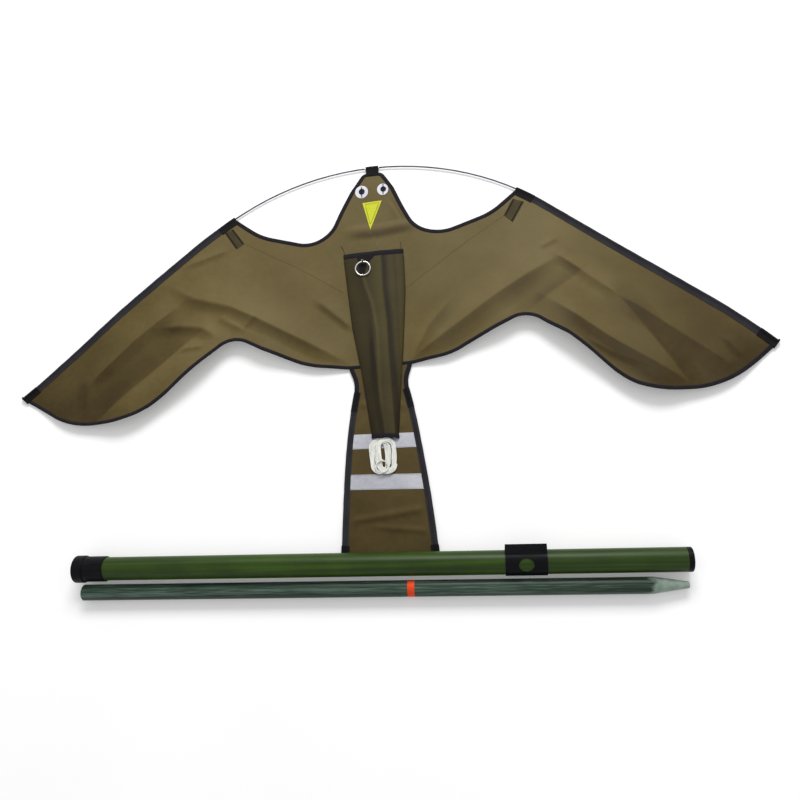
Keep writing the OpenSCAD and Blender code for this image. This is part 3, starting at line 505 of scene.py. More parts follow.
def sweep(name, line, across, up, section, closed=False):
    """Wraps a section (across, up) round a line of points, all in millimetres."""
    line = np.asarray(line, float)
    across = np.broadcast_to(across, line.shape)
    up = np.broadcast_to(up, line.shape)
    stations = len(line)
    section = np.asarray(section, float)
    if section.ndim == 2:
        section = np.repeat(section[None], stations, axis=0)
    sides = section.shape[1]
    columns = stations if closed else stations - 1
    piece, share_along, share_round = grid(name, columns, sides)
    i = np.rint(share_along * columns).astype(int)
    j = np.rint(share_round * sides).astype(int)
    shape = line[:, None] + across[:, None] * section[:, :, :1] + up[:, None] * section[:, :, 1:]
    move_points(piece, laid(shape[i % stations, j % sides]))
    runs = steps(line)
    lengths = np.concatenate([[0], np.cumsum(runs), [runs.sum() + runs[-1]]])
    girth = np.concatenate([[0], np.cumsum(steps(np.vstack([section[0], section[0][:1]])))])
    map_points(piece, np.stack([lengths[i], girth[j]], 1) / 1000)
    hold(piece)
    bpy.ops.object.mode_set(mode="EDIT")
    bpy.ops.mesh.select_all(action="SELECT")
    bpy.ops.mesh.remove_doubles(threshold=0.000001)
    if not closed:
        bpy.ops.mesh.fill_holes(sides=0)
    bpy.ops.mesh.select_all(action="SELECT")
    bpy.ops.mesh.normals_make_consistent(inside=False)
    bpy.ops.object.mode_set(mode="OBJECT")
    return piece


def level_frame(line, side):
    """Across points level to one side of the line, up is square to both."""
    run = headings(line)
    across = side * np.cross([0, 0, 1], run)
    across /= np.linalg.norm(across, axis=1, keepdims=True)
    return across, np.cross(run, across) * side


def run_along(name, line, side, section, body, finish, slot, *nodes, keep=None):
    """Sweeps a section along a level line, or along the first points to keep of it, and sews it on."""
    across, up = level_frame(line, side)
    piece = sweep(name, line[:keep], across[:keep], up[:keep], section)
    return sewn_on(piece, body, finish, slot, *nodes)


def full_turn(count):
    return np.linspace(0, 2 * np.pi, count + 1)[:-1]


def oval_section(half_wide, half_tall, sides):
    return [(half_wide * math.cos(a), half_tall * math.sin(a)) for a in full_turn(sides)]


def round_section(radius, sides):
    return oval_section(radius, radius, sides)


def spaced(line, step):
    """The same line with points a step apart."""
    line = np.asarray(line, float)
    run = np.concatenate([[0], np.cumsum(steps(line))])
    keep = np.concatenate([[True], np.diff(run) > 1e-9])
    places = np.linspace(0, run[-1], max(2, int(round(run[-1] / step)) + 1))
    return np.stack([np.interp(places, run[keep], line[keep, k]) for k in range(line.shape[1])], 1)


def rounded(corners, step=2.0):
    """A line through corners (x, y, radius), rounded and with points close together."""
    corners = [tuple(c) + (0,) if len(c) == 2 else tuple(c) for c in corners]
    line = [np.array(corners[0][:2], float)]
    for before, corner, after in zip(corners, corners[1:], corners[2:]):
        middle = np.array(corner[:2], float)
        one = np.array(before[:2]) - middle
        two = np.array(after[:2]) - middle
        one = one / np.linalg.norm(one)
        two = two / np.linalg.norm(two)
        half = math.acos(np.clip(one @ two, -1, 1)) / 2
        reach = corner[2] / math.tan(half)
        bisector = (one + two) / np.linalg.norm(one + two)
        centre = middle + bisector * corner[2] / math.sin(half)
        start = middle + one * reach - centre
        end = middle + two * reach - centre
        for share in np.linspace(0, 1, 15):
            spoke = start * (1 - share) + end * share
            line.append(centre + spoke / np.linalg.norm(spoke) * corner[2])
    line.append(np.array(corners[-1][:2], float))
    return spaced(np.array(line), step)


def swing(radius, angle):
    """A point of the bow's circle, the angle counted from the head."""
    return bow_middle + radius * np.array([math.sin(angle), math.cos(angle)])


def at_cloth(flat):
    """Flat points at the height of the cloth."""
    return np.column_stack([flat, np.full(len(flat), cloth_z)])


def steps_in(value, low, high):
    """A smooth step from 0 at low to 1 at high."""
    share = np.clip((value - low) / (high - low), 0, 1)
    return share * share * (3 - 2 * share)


# The sail's outline: head edge and bow above, trailing edge below

tape_inset = 3
head_line = rounded(
    [(0, 547), (22, 547, 18), (50, 500, 80), (112, 352, 72), (262, 403, 150), (324.5, 455.6)]
)
bow_edge = [swing(bow_radius - tape_inset, a) for a in np.linspace(math.radians(35.6), bow_bend, 12)]
inward = np.array([math.sin(bow_bend), math.cos(bow_bend)])
upper_line = np.vstack([head_line[:-1], bow_edge, [np.array(wing_tip) - tape_inset * inward]])
trailing_line = rounded(
    [(70, 46), (150, 55, 140), (314, 141, 48), (521, -52, 150), (672, -52, 180), wing_tip]
)
lower_line = np.vstack([[[0, 46]], trailing_line])


def upper_y(x):
    return np.interp(np.abs(x), upper_line[:, 0], upper_line[:, 1])


def lower_y(x):
    return np.interp(np.abs(x), lower_line[:, 0], lower_line[:, 1])


def sail_share(x, y):
    """0 on the trailing edge, 1 on the upper edge."""
    low, high = lower_y(x), upper_y(x)
    return np.clip((y - low) / np.maximum(high - low, 1), 0, 1)


# As it lies, the wings are not quite alike: distances from the middle, and how far the edges are moved
# along Y there. Both tips lie further right, and the tail's right side reaches further out and down.

left_upper = (
    [300, 361, 406, 495, 585, 630, 674, 718, 763, 790],
    [0, 2, 8, 11, 13, 11, 8, 7, 6, 7],
)
left_lower = (
    [150, 250, 320, 406, 450, 495, 540, 630, 718, 763, 790],
    [0, -8, -3, 1, 4, 12, 15, 17, 16, 11, 7],
)
right_upper = ([600, 700, 743, 770, 790], [0, -2, -7, -12, -17])
right_lower = (
    [180, 270, 350, 389, 428, 468, 507, 664, 703, 743, 790],
    [0, -7, -9, -4, -9, -18, -20, -16, -16, -18, -17],
)
tips_aside = 7.5
tail_left = -85
tail_widening = 0.035
tail_slant = 0.06


def flexed(x, y):
    """Where a flat point of the kite comes to lie."""
    out = np.abs(x)
    share = sail_share(x, y)
    lower = np.where(x < 0, np.interp(out, *left_lower), np.interp(out, *right_lower))
    upper = np.where(x < 0, np.interp(out, *left_upper), np.interp(out, *right_upper))
    on_wing = np.clip((out - 130) / 20, 0, 1)
    from_left = x - tail_left
    aside = tips_aside * steps_in(out, 500, 790) + tail_widening * from_left * steps_in(-y, 100, 340)
    drop = tail_slant * from_left * steps_in(-y, 215, 340)
    return x + aside, y + on_wing * (lower * (1 - share) + upper * share) - drop


billow = 28
billow_start = 60
billow_length = 692
ripple = 4
ripple_length = 150


def edge_lift(x):
    """The trailing edge billows up, with ripples, from beside the tail to near the tips."""
    out = np.abs(x) - billow_start
    ripples = ripple * np.sin(2 * np.pi * out / ripple_length)
    return np.sin(np.pi * np.clip(out / billow_length, 0, 1)) * (billow + ripples)


tunnel_rear = -109
tunnel_mouth = 325
tunnel_length = 433
head_lean = 5.5

# Packing creases, each a ridge: its line, its rise, how far it slopes off to the left and right of the
# line, and the painted light (above 0) and painted shade (below 0) that the cloth takes on those two sides

creases = [
    ([(-463, 287), (-413, 250), (-322, 215), (-234, 163), (-162, 119), (-67, 58)], 5, 80, 30, 0.08, -0.42),
    ([(-351, 194), (-291, 153)], 3, 30, 20, 0.05, -0.2),
    ([(-291, 158), (-261, 192)], 2, 16, 16, 0.05, -0.15),
    ([(-478, 184), (-438, 182), (-383, 168), (-351, 144)], 3, 36, 28, 0.1, -0.4),
    ([(-633, 63), (-535, 163), (-449, 235)], 5, 60, 80, 0.05, -0.3),
    ([(-594, -21), (-489, 74), (-399, 149)], 4, 60, 50, -0.32, 0.12),
    ([(-639, 74), (-631, 7)], 2, 20, 26, 0, -0.18),
    ([(-133, 216), (-54, 138)], 3, 34, 16, 0.06, -0.36),
    ([(-429, 120), (-376, 120)], 2, 24, 12, 0.06, -0.25),
    ([(-438, 341), (-338, 373)], 2, 20, 16, 0.05, -0.2),
    ([(65, 55), (149, 113), (231, 168), (320, 224), (398, 269)], 5, 70, 46, 0.08, -0.36),
    ([(328, 143), (371, 176), (439, 226)], 3, 34, 40, -0.3, 0.04),
    ([(439, 226), (393, 270)], 2, 24, 24, -0.2, 0.06),
    ([(74, 69), (108, 129), (154, 183)], 3, 26, 30, 0.06, -0.22),
    ([(363, 156), (491, 42), (612, -61)], 4, 60, 54, 0.1, -0.5),
    ([(505, 161), (546, 76), (608, -56)], 4, 44, 30, -0.34, 0.05),
    ([(509, 155), (607, 64), (706, -34)], 4, 60, 40, 0.1, -0.34),
    ([(393, 271), (452, 212), (505, 161)], 3, 50, 24, 0.08, -0.22),
    ([(694, 43), (722, -6)], 2, 24, 14, 0.04, -0.24),
    ([(425, 55), (469, 23), (531, -11)], 2, 24, 14, 0.04, -0.22),
    ([(359, 294), (399, 315)], 2, 20, 12, 0.04, -0.22),
    ([(-60, 379), (0, 377), (50, 382), (92, 386)], 1, 14, 15, -0.5, -0.5),
    ([(-75, 399), (0, 398), (55, 403), (95, 404)], 0.8, 9, 8, 0.16, 0.16),
    ([(-19, 390), (15, 328)], 0.6, 5, 5, 0.16, -0.1),
    ([(38, 471), (66, 405)], 1.2, 12, 12, -0.16, 0.08),
]


def ridge(x, y, line, rise, left, right, left_tone, right_tone):
    """Height of one of the creases, and the painted light and shade on its two sides; both fade towards
    its ends.
    """
    line = np.asarray(line, float)
    runs = steps(line)
    starts = np.concatenate([[0], np.cumsum(runs)])
    nearest = np.full(x.shape, 1e9)
    side = np.zeros(x.shape)
    reach = np.zeros(x.shape)
    for k, run in enumerate(runs):
        step = (line[k + 1] - line[k]) / run
        to_x, to_y = x - line[k, 0], y - line[k, 1]
        place = np.clip(to_x * step[0] + to_y * step[1], 0, run)
        off = np.hypot(to_x - place * step[0], to_y - place * step[1])
        better = off < nearest
        nearest = np.where(better, off, nearest)
        side = np.where(better, step[0] * to_y - step[1] * to_x, side)
        reach = np.where(better, starts[k] + place, reach)
    fall = np.clip(1 - nearest / np.where(side > 0, left, right), 0, 1)
    end_room = np.clip(np.minimum(reach, starts[-1] - reach) / (0.2 * starts[-1]), 0, 1)
    fall *= 0.2 + 0.8 * end_room
    # Painted light and shade on the two sides of the line
    on_left = np.clip(0.5 + np.sign(side) * nearest / 5, 0, 1)
    tone = on_left * left_tone + (1 - on_left) * right_tone
    return rise * fall ** 1.2, tone * np.minimum(1, 1.4 * fall)


def lean(x, y):
    """The head lies a little to the left."""
    held = steps_in(y, 335, 385) * (1 - steps_in(y, 430, 545))
    return -head_lean * held * (1 - steps_in(np.abs(x), 110, 190))


def crease_field(x, y):
    """Height that the creases give the cloth, flat near its edges, the tunnel and the face, and the
    painted light and shade on their sides.
    """
    height = 0.25 * np.sin(x / 17 + 2.1 * np.sin(y / 41)) * np.sin(y / 23 + 1.7 * np.sin(x / 57))
    tone = np.zeros(x.shape)
    seen_x, seen_y = flexed(x, y)
    for crease_with_painted_shade in creases:
        rise, shade = ridge(seen_x, seen_y, *crease_with_painted_shade)
        height += rise
        tone += shade
    room = np.minimum(y - lower_y(x), upper_y(x) - y)
    height *= steps_in(room, 4, 30)
    tunnel_half = np.interp(y, [tunnel_rear, tunnel_mouth], [26, 63])
    off_tunnel = steps_in(np.abs(x) - tunnel_half, 2, 26)
    height *= np.where(y < 340, off_tunnel, np.maximum(off_tunnel, steps_in(y, 340, 365)))
    off_face = 1 - steps_in(70 - np.abs(x), 0, 15) * steps_in(y, 440, 465)
    return height * off_face, tone


def sail_height(x, y):
    return cloth_z + edge_lift(x) * (1 - sail_share(x, y)) ** 2 + crease_field(x, y)[0]


def on_sail(flat, height=0.0):
    """Flat points lifted onto the sail, or as high above it as given."""
    return np.column_stack([flat, sail_height(flat[:, 0], flat[:, 1]) + height])


def painted_cloth_shade(points):
    """Painted light and shade of the sail: on the creases' sides, painted shade on the outer wings and
    painted light on the cloth inside them.
    """
    x, y = points[:, 0], points[:, 1]
    share = sail_share(x, y)
    outer = steps_in(np.abs(x), 330, 700)
    # Painted shade darkens the outer wings, less so towards their upper edge
    tone = 0.57 + crease_field(x, y)[1] - 0.6 * outer * (1 - 0.5 * share)
    # Painted light on the upper cloth of the right wing, and on a band across the left wing
    tone += 0.15 * steps_in(x, 150, 330) * (1 - steps_in(x, 480, 640)) * steps_in(share, 0.2, 0.6)
    tone += 0.1 * steps_in(-x, 200, 400) * (1 - steps_in(-x, 560, 680))
    return np.clip(tone, 0, 1)


sail_reach = 786.5
head_tape_end = 314
trailing_tape_start = 70


def sail_place(across, along):
    """Columns stand closer together where the upper edge is steep."""
    reach = np.linspace(0, sail_reach, 3000)
    pace = np.abs(np.gradient(reach)) + 0.5 * np.abs(np.gradient(upper_y(reach)))
    run = np.concatenate([[0], np.cumsum(pace[1:])])
    half = 2 * across - 1
    x = np.sign(half) * np.interp(np.abs(half), run / run[-1], reach)
    high = upper_y(x) - np.where(np.abs(x) < head_tape_end, tape_inset, 0)
    low = lower_y(x) + np.where(np.abs(x) > trailing_tape_start, tape_inset, 0)
    y = low + (np.maximum(high, low + 0.2) - low) * along
    return np.stack([x + lean(x, y), y, sail_height(x, y)], 1)


sail = cut_cloth("sail_panel", 372, 124, sail_place, tone=painted_cloth_shade)
sewn_on(sail, "kite", sail_finish, "sail_cloth", "sail")


# Edge bindings: a tape folded over the edge

def both_faces(above):
    """A closed section from its upper face; the lower one is alike."""
    return [(above[0][0], -above[0][1])] + above + [(across, -up) for across, up in above[:0:-1]]


def tape_section(width):
    """From a little outside the edge to the tape's width inside it."""
    return both_faces([(-0.3, 0.5), (0.6, 1), (width * 0.5, 1.05), (width - 0.5, 1), (width, 0.6)])


def bind_edge(name, flat, side, width, node_name):
    line = on_sail(flat)
    line[:, 0] += lean(flat[:, 0], flat[:, 1])
    return run_along(name, line, side, tape_section(width), "kite", tape_finish, "binding", node_name)


head_both = np.vstack([head_line[::-1] * [-1, 1], head_line[1:]])
head_tape = bind_edge("head_edge_tape", spaced(head_both, 4), -1, 9, "head_binding")
trail_right = np.vstack([[[36, 46]], trailing_line])
trail_right = spaced(trail_right[trail_right[:, 0] < 781], 5)
right_tape, left_tape = [
    bind_edge("trailing_tape_" + name, trail_right * [mirror, 1], mirror, 7, "trailing_binding_" + name)
    for name, mirror in reversed(both_sides)
]


# Leading edges: rod, cloth sleeve with a sewn flap, webbing cuff and plastic tip. Each sleeve section
# has a radius, a flap that reaches so far from the spar's axis, and half the flap's thickness.

sleeve_start = math.radians(35.7)
cuff_start = math.radians(35.3)
sleeve_gap = 37
sleeve_radius = 3.9


def sleeve_section(radius, flap, ply, pucker=0.0):
    """A tube round the spar that runs out into a flap of two plies."""
    bulge = radius + pucker
    turn = np.radians(np.linspace(38, 322, 17))
    shape = [(flap, ply), (flap * 0.55, ply * 1.05)]
    shape += [(bulge * math.cos(a), bulge * math.sin(a)) for a in turn]
    return shape + [(flap * 0.55, -ply * 1.05), (flap, -ply)]


def leading_line(start, end_gap, step):
    """Along the bow from an angle to so far before the wing tip."""
    arc = [swing(bow_radius, a) for a in np.linspace(start, bow_bend, 14)]
    rest = np.array(wing_tip) - arc[-1]
    last = np.array(wing_tip) - rest / np.linalg.norm(rest) * end_gap
    return spaced(np.vstack([arc, [last]]), step)


for side_name, mirror in both_sides:
    flip = [mirror, 1]
    rod_line = at_cloth(leading_line(0.006, 3, 6) * flip)
    run_along(
        "bow_rod_" + side_name, rod_line, -mirror, round_section(1.7, 12),
        "kite", spar_finish, "spar", "bow_spar_" + side_name,
    )
    sleeve_line = at_cloth(leading_line(sleeve_start, sleeve_gap, 5) * flip)
    sleeve_run = np.arange(len(sleeve_line)) * 5.0
    puckers = 0.18 * np.sin(sleeve_run / 7) * np.sin(sleeve_run / 31 + 1)
    sleeve_shape = [sleeve_section(sleeve_radius, 13.5, 1.1, pucker) for pucker in puckers]
    run_along(
        "wing_sleeve_" + side_name, sleeve_line, -mirror, sleeve_shape,
        "kite", sleeve_finish, "sleeve_cloth", "leading_sleeve_" + side_name,
    )
    cuff_line = at_cloth(leading_line(cuff_start, sleeve_gap, 3)[:17] * flip)
    run_along(
        "wing_cuff_" + side_name, cuff_line, -mirror, sleeve_section(4.3, 16, 1.5),
        "kite", webbing_finish, "webbing",
    )
    tip_line = at_cloth(leading_line(sleeve_start, 0, 2)[-20:] * flip)
    run_along(
        "tip_shell_" + side_name, tip_line, -mirror, sleeve_section(4.8, 15, 1.9),
        "kite", cap_finish, "cap_plastic", "tip_cap_" + side_name,
    )
    tip_across, tip_up = level_frame(tip_line, -mirror)
    nub_line = tip_line[-3:] - 1.6 * tip_across[-3:]
    nub_shape = [oval_section(radius, 0.72 * radius, 16) for radius in (5.2, 6.4, 4.6)]
    nub = sweep("tip_nub_" + side_name, nub_line, tip_across[-3:], tip_up[-3:], nub_shape)
    sewn_on(nub, "kite", cap_finish, "cap_plastic")


# Belly tunnel with its hems: its edges at some places along Y, and its folds, written as the creases are

tunnel_left = (
    [tunnel_rear, -101, 50, 142, 238, 319, tunnel_mouth],
    [-23, -24, -42, -56, -64.5, -71.5, -72],
)
tunnel_right = (
    [tunnel_rear, -106, 41, 130, 223, 321, tunnel_mouth],
    [31, 31, 45, 53, 60.5, 61.5, 61.5],
)
# Each fold's last two numbers are the painted light and shade on its two sides
tunnel_folds = [
    (
        [(-31, 320), (-31, 262), (-24, 229), (-14, 193), (-6, 129), (-5, 43), (-4, -60)],
        1.3, 9, 24, 0.26, -0.16,
    ),
    (
        [(12, 420), (13, 310), (14, 225), (19, 153), (20, 85), (22, 19), (25, -87), (26, -180)],
        1.2, 16, 34, -0.62, 0.2,
    ),
    ([(-14, 150), (-11, 88), (-7, 0), (2, -85), (6, -150)], 0.8, 7, 12, 0.05, -0.3),
    ([(42, 420), (46, 250), (44, 120), (38, 20)], 0.7, 12, 8, 0.06, -0.12),
]


def tunnel_edges(y):
    return np.interp(y, *tunnel_left), np.interp(y, *tunnel_right)


def tunnel_skin(x, y):
    """Height of the tunnel's cloth, which is a little higher at the mouth, and its tone: painted light on
    its right side, darker towards the rear, and painted light and shade on the folds' sides.
    """
    left, right = tunnel_edges(y)
    high = np.interp(y, [tunnel_rear, tunnel_mouth], [8, 10])
    spread = np.clip((2 * x - left - right) / (right - left), -1, 1)
    height = 6.45 + (high - 0.4) * np.sqrt(1 - np.abs(spread) ** 2.4)
    # Painted light on the right side of the arch; the cloth is darker towards the rear
    tone = 0.45 + 0.13 * spread - 0.24 * steps_in(-y, -150, 60)
    for fold in tunnel_folds:
        rise, shade = ridge(x, y, *fold)
        height += rise * steps_in(1 - np.abs(spread), 0.02, 0.3)
        tone += shade
    return height, np.clip(tone, 0, 1)


def tunnel_x(share, y):
    """From the left edge to the right edge, with points closer together near both."""
    left, right = tunnel_edges(y)
    return (left + right - (right - left) * np.cos(np.pi * share)) / 2


def mouth_sag(across):
    """The mouth's free edge hangs back in the middle."""
    return 5.5 * np.sin(np.pi * across) ** 0.8


def rear_drop(x):
    """The rear end hangs further back on the right."""
    return 4.8 + 0.08 * x


def tunnel_place(across, along):
    y = tunnel_mouth + 1 - tunnel_length * along - mouth_sag(across) * np.exp(-9 * along)
    x = tunnel_x(across, y)
    y = y - rear_drop(x) * along ** 4
    return np.stack([x, y, tunnel_skin(x, y)[0]], 1)


def tunnel_painted_shade(points):
    return tunnel_skin(points[:, 0], points[:, 1])[1]


tunnel = cut_cloth("tunnel_panel", 110, 140, tunnel_place, tone=tunnel_painted_shade)
sewn_on(tunnel, "kite", tunnel_finish, "tunnel_cloth", "belly_tunnel")


def hem(name, y, at_front, half_wide, node_name):
    share = np.linspace(1, 0, 65)
    x = tunnel_x(share, y)
    y = y - (mouth_sag(share) if at_front else rear_drop(x))
    line = np.stack([x, y, tunnel_skin(x, y)[0]], 1)
    edge = half_wide - 0.8
    shape = both_faces([(-half_wide, 0.6), (-edge, 1), (0, 1.1), (edge, 1), (half_wide, 0.6)])
    across = np.array([0.0, 1.0, 0.0])
    piece = sweep(name, line, across, np.cross(headings(line), across), shape)
    return sewn_on(piece, "kite", tape_finish, "hem", node_name)


front_hem = hem("tunnel_hem_front", 323, True, 6, "tunnel_front_hem")
rear_hem = hem("tunnel_hem_rear", -105, False, 4, "tunnel_rear_hem")


# Keel tab: webbing from the hem, pinched up into a fin round the eyelet, and the split ring through it

eyelet = np.array([-28.0, 295.7, 23.254])
ring_tilt = math.radians(7.5)
ring_radius = 16.2


def tab_place(across, along):
    y = 316 - 46 * along
    left = np.interp(along, [0, 1], [-41, -36])
    right = np.interp(along, [0, 0.2, 0.45, 1], [0, -6, -19, -25])
    x = left + (right - left) * across
    pinch = np.exp(-((x - eyelet[0]) / 1.7) ** 2) * np.exp(-((y - eyelet[1]) / 5) ** 2)
    return np.stack([x, y, tunnel_skin(x, y)[0] + 1 + 3 * pinch], 1)


tab = cut_cloth("tab_webbing", 44, 40, tab_place, 0.9)
sewn_on(tab, "kite", webbing_finish, "webbing", "keel_tab")

fin_turn = full_turn(48)
fin_out = np.stack([np.zeros(48), np.cos(fin_turn), np.sin(fin_turn)], 1)
fin_shape = [(-1.05, -1), (-1.05, 1), (0.9, 1), (1.3, 0.6), (1.3, -0.6), (0.9, -1)]
fin = sweep("tab_fin", eyelet + 5.1 * fin_out, fin_out, [1.0, 0.0, 0.0], fin_shape, closed=True)
sewn_on(fin, "kite", webbing_finish, "webbing")

coil_turn = np.linspace(1, 1 + 3.94 * np.pi, 161)
coil_along = np.array([0, math.cos(ring_tilt), math.sin(ring_tilt)])
coil_axis = np.array([0, -math.sin(ring_tilt), math.cos(ring_tilt)])
coil_out = np.cos(coil_turn)[:, None] * [1, 0, 0] + np.sin(coil_turn)[:, None] * coil_along
coil_rise = np.linspace(-0.62, 0.62, 161)[:, None] * coil_axis
coil_line = eyelet - ring_radius * coil_along + ring_radius * coil_out + coil_rise
coil = sweep("ring_coil", coil_line, coil_out, coil_axis, oval_section(1.15, 0.61, 12))
sewn_on(coil, "ring", steel_finish, "ring_metal", "split_ring")


# Face: eyes, pupils and beak

disc_thick = 0.5
eye_low = 5.5
pupil_low = 6.1


def disc(name, x, y, wide, tall, low, finish, slot, node_name):
    """A flat oval of cloth whose face is raised a little inside its rim."""
    bpy.ops.object.select_all(action="DESELECT")
    bpy.ops.mesh.primitive_cylinder_add(vertices=72, radius=wide / 2, depth=disc_thick, location=(0, 0, 0))
    piece = bpy.context.object
    piece.name = name
    bpy.ops.object.mode_set(mode="EDIT")
    bpy.ops.mesh.select_mode(type="FACE")
    bpy.ops.mesh.select_all(action="DESELECT")
    bpy.ops.object.mode_set(mode="OBJECT")
    for face in piece.data.polygons:
        face.select = face.normal.z > 0.9
    bpy.ops.object.mode_set(mode="EDIT")
    bpy.ops.mesh.inset(thickness=1.2, depth=0.12)
    bpy.ops.mesh.inset(thickness=wide * 0.2, depth=0.05)
    bpy.ops.object.mode_set(mode="OBJECT")
    points = points_of(piece) * [1, tall / wide, 1] + [x, y, low + disc_thick / 2]
    move_points(piece, laid(points))
    map_points(piece, points[:, :2] / 1000)
    return sewn_on(piece, "kite", finish, slot, node_name)


for side_name, x, y, wide, tall in (("left", -26.7, 495.8, 30, 35), ("right", 22.7, 497.2, 26, 32)):
    disc("eye_disc_" + side_name, x, y, wide, tall, eye_low, eye_finish, "eye_cloth", "eye_" + side_name)
for side_name, x, y, wide, tall in (("left", -26.3, 496.3, 14, 16.5), ("right", 24, 497.4, 13.5, 15)):
    disc(
        "pupil_disc_" + side_name, x, y, wide, tall, pupil_low,
        pupil_finish, "pupil_cloth", "pupil_" + side_name,
    )


def beak_place(across, along):
    left = np.array([-25.6, 464.3])
    right = np.array([19, 466.1])
    point = np.array([-9.8, 389.1])
    middle = (left + right) / 2 * (1 - along)[:, None] + point * along[:, None]
    spread = (right - left) * ((across - 0.5) * (1 - along))[:, None]
    return on_sail(middle + spread, 0.75 + 0.25 * np.sin(np.pi * across) * (1 - along))


beak = cut_cloth("beak_panel", 24, 30, beak_place)
sewn_on(beak, "kite", beak_finish, "beak_cloth", "beak")


# Shoulder patches, the head's webbing loop

shoulder_corners = {
    "left": np.array([(-349, 420), (-330, 430), (-302, 388), (-320, 374)], float),
    "right": np.array([(315, 432), (339, 421), (309, 371), (291, 391)], float),
}


def patch_ends(corners, share):
    """Points at a share of the way along a patch's top and bottom."""
    return corners[0] + share * (corners[1] - corners[0]), corners[3] + share * (corners[2] - corners[3])


def shoulder_place(corners):
    def place(across, along):
        top, bottom = patch_ends(corners, across[:, None])
        return on_sail(top + along[:, None] * (bottom - top), 0.75)

    return place


for side_name, corners in shoulder_corners.items():
    patch = cut_cloth("shoulder_cloth_" + side_name, 20, 40, shoulder_place(corners))
    sewn_on(patch, "kite", patch_finish, "patch_cloth", "shoulder_patch_" + side_name)

loop_line = at_cloth([swing(bow_radius, a) for a in np.linspace(-0.0266, 0.0266, 13)])
run_along(
    "head_webbing", loop_line, -1, sleeve_section(4.2, 22, 1.9),
    "kite", webbing_finish, "webbing", "head_loop",
)


# Tail: panel, neck tapes, sleeves and reflective strips

tail_bow = np.polyfit([-4, -48, -96, -179, -260, -328, -340], [56.3, 63.8, 72.6, 80, 85.7, 89.2, 89.9], 3)
neck_line = rounded([(66, 45.4), (55.2, 14, 60), (56.6, -12)], 3)
neck_end = -6
tail_end = -339
tail_length = 384.4


def tail_edge(y):
    """Outer edge of the tail's bent sleeves."""
    return np.polyval(tail_bow, y)


def tail_half(y):
    return np.where(y < neck_end, tail_edge(y), np.interp(y, neck_line[::-1, 1], neck_line[::-1, 0]))


def tail_creases(x, y):
    height = 0.7 * np.exp(-((y + 40 + 0.1 * x) / 9) ** 2) + 0.6 * np.exp(-((y + 268 - 0.12 * x) / 7) ** 2)
    height += 0.5 * np.exp(-((y + 292 + 0.1 * x) / 6) ** 2) * steps_in(x, -60, 10)
    height += 0.25 * np.sin(x / 13 + 1.7 * np.sin(y / 37)) * np.sin(y / 19)
    room = tail_half(y) - np.abs(x)
    off_strips = 1 - steps_in(y, -238, -228) * (1 - steps_in(y, -100, -90))
    return height * steps_in(room, 10, 30) * off_strips


def tail_place(across, along):
    y = tail_end + tail_length * along
    half = tail_half(y) - np.where(y < neck_end, 6, tape_inset)
    x = half * (2 * across - 1)
    return np.stack([x, y, cloth_z + tail_creases(x, y)], 1)


def tail_painted_shade(points):
    x, y = points[:, 0], points[:, 1]
    # Painted shade where the creases slope away from the light; the cloth is also darker towards the
    # tail's end
    slope = (tail_creases(x, y + 2) - tail_creases(x, y - 2)) / 4
    return np.clip(0.25 - 0.08 * steps_in(-y, 170, 260) - 2 * slope, 0, 1)


def tail_axis(y, mirror):
    """The line of a tail spar."""
    return at_cloth(np.stack([mirror * (tail_edge(y) - sleeve_radius), y], 1))


tail = cut_cloth("tail_cloth", 60, 140, tail_place, tone=tail_painted_shade)
sewn_on(tail, "tail", sail_finish, "sail_cloth", "tail_panel")

spar_y = np.linspace(-8, -336, 63)
end_y = np.array([-324.0, -330.0, -336.0, -340.0])
casing_stations = 61
cuff_stations = 9
casing_puckers = 0.15 * np.sin(spar_y / 6) * np.sin(spar_y / 29)
casing_shape = [
    sleeve_section(sleeve_radius, 8.5, 1.1, pucker) for pucker in casing_puckers[:casing_stations]
]
tail_trims = []
for side_name, mirror in both_sides:
    tape = run_along(
        "neck_tape_" + side_name, at_cloth(neck_line * [mirror, 1]), -mirror, tape_section(9),
        "tail", tape_finish, "binding", "tail_tape_" + side_name,
    )
    axis = tail_axis(spar_y, mirror)
    run_along(
        "tail_rod_" + side_name, axis, -mirror, round_section(2, 12),
        "tail", spar_finish, "spar", "tail_spar_" + side_name,
    )
    casing = run_along(
        "tail_casing_" + side_name, axis, -mirror, casing_shape,
        "tail", sleeve_finish, "sleeve_cloth", "tail_sleeve_" + side_name, keep=casing_stations,
    )
    cuff = run_along(
        "tail_cuff_" + side_name, axis, -mirror, sleeve_section(4.5, 9.2, 1.5),
        "tail", webbing_finish, "webbing", keep=cuff_stations,
    )
    run_along(
        "tail_block_" + side_name, tail_axis(end_y, mirror), -mirror, sleeve_section(4.85, 10.5, 2.4),
        "tail", cap_finish, "cap_plastic", "tail_cap_" + side_name,
    )
    tail_trims += [tape, casing, cuff]

# Each strip's top at the middle and its slant
strips = {"upper": (-103, 0.043), "lower": (-188, 0.06)}
strip_tall = 31
strip_inset = 11.5
strip_z = 5.5


def strip_place(top, slant):
    def place(across, along):
        level = top - strip_tall * (1 - along)
        x = (tail_edge(level) - strip_inset) * (2 * across - 1)
        return np.stack([x, level - slant * x, strip_z + 0.08 * np.sin(x / 9)], 1)

    return place


for strip_name, (top, slant) in strips.items():
    strip = cut_cloth("silver_strip_" + strip_name, 40, 12, strip_place(top, slant), 0.36)
    sewn_on(strip, "tail", silver, "reflective", "reflective_strip_" + strip_name)
    tail_trims.append(strip)


# Flying line: a hank of ten turns, its end loop and knot

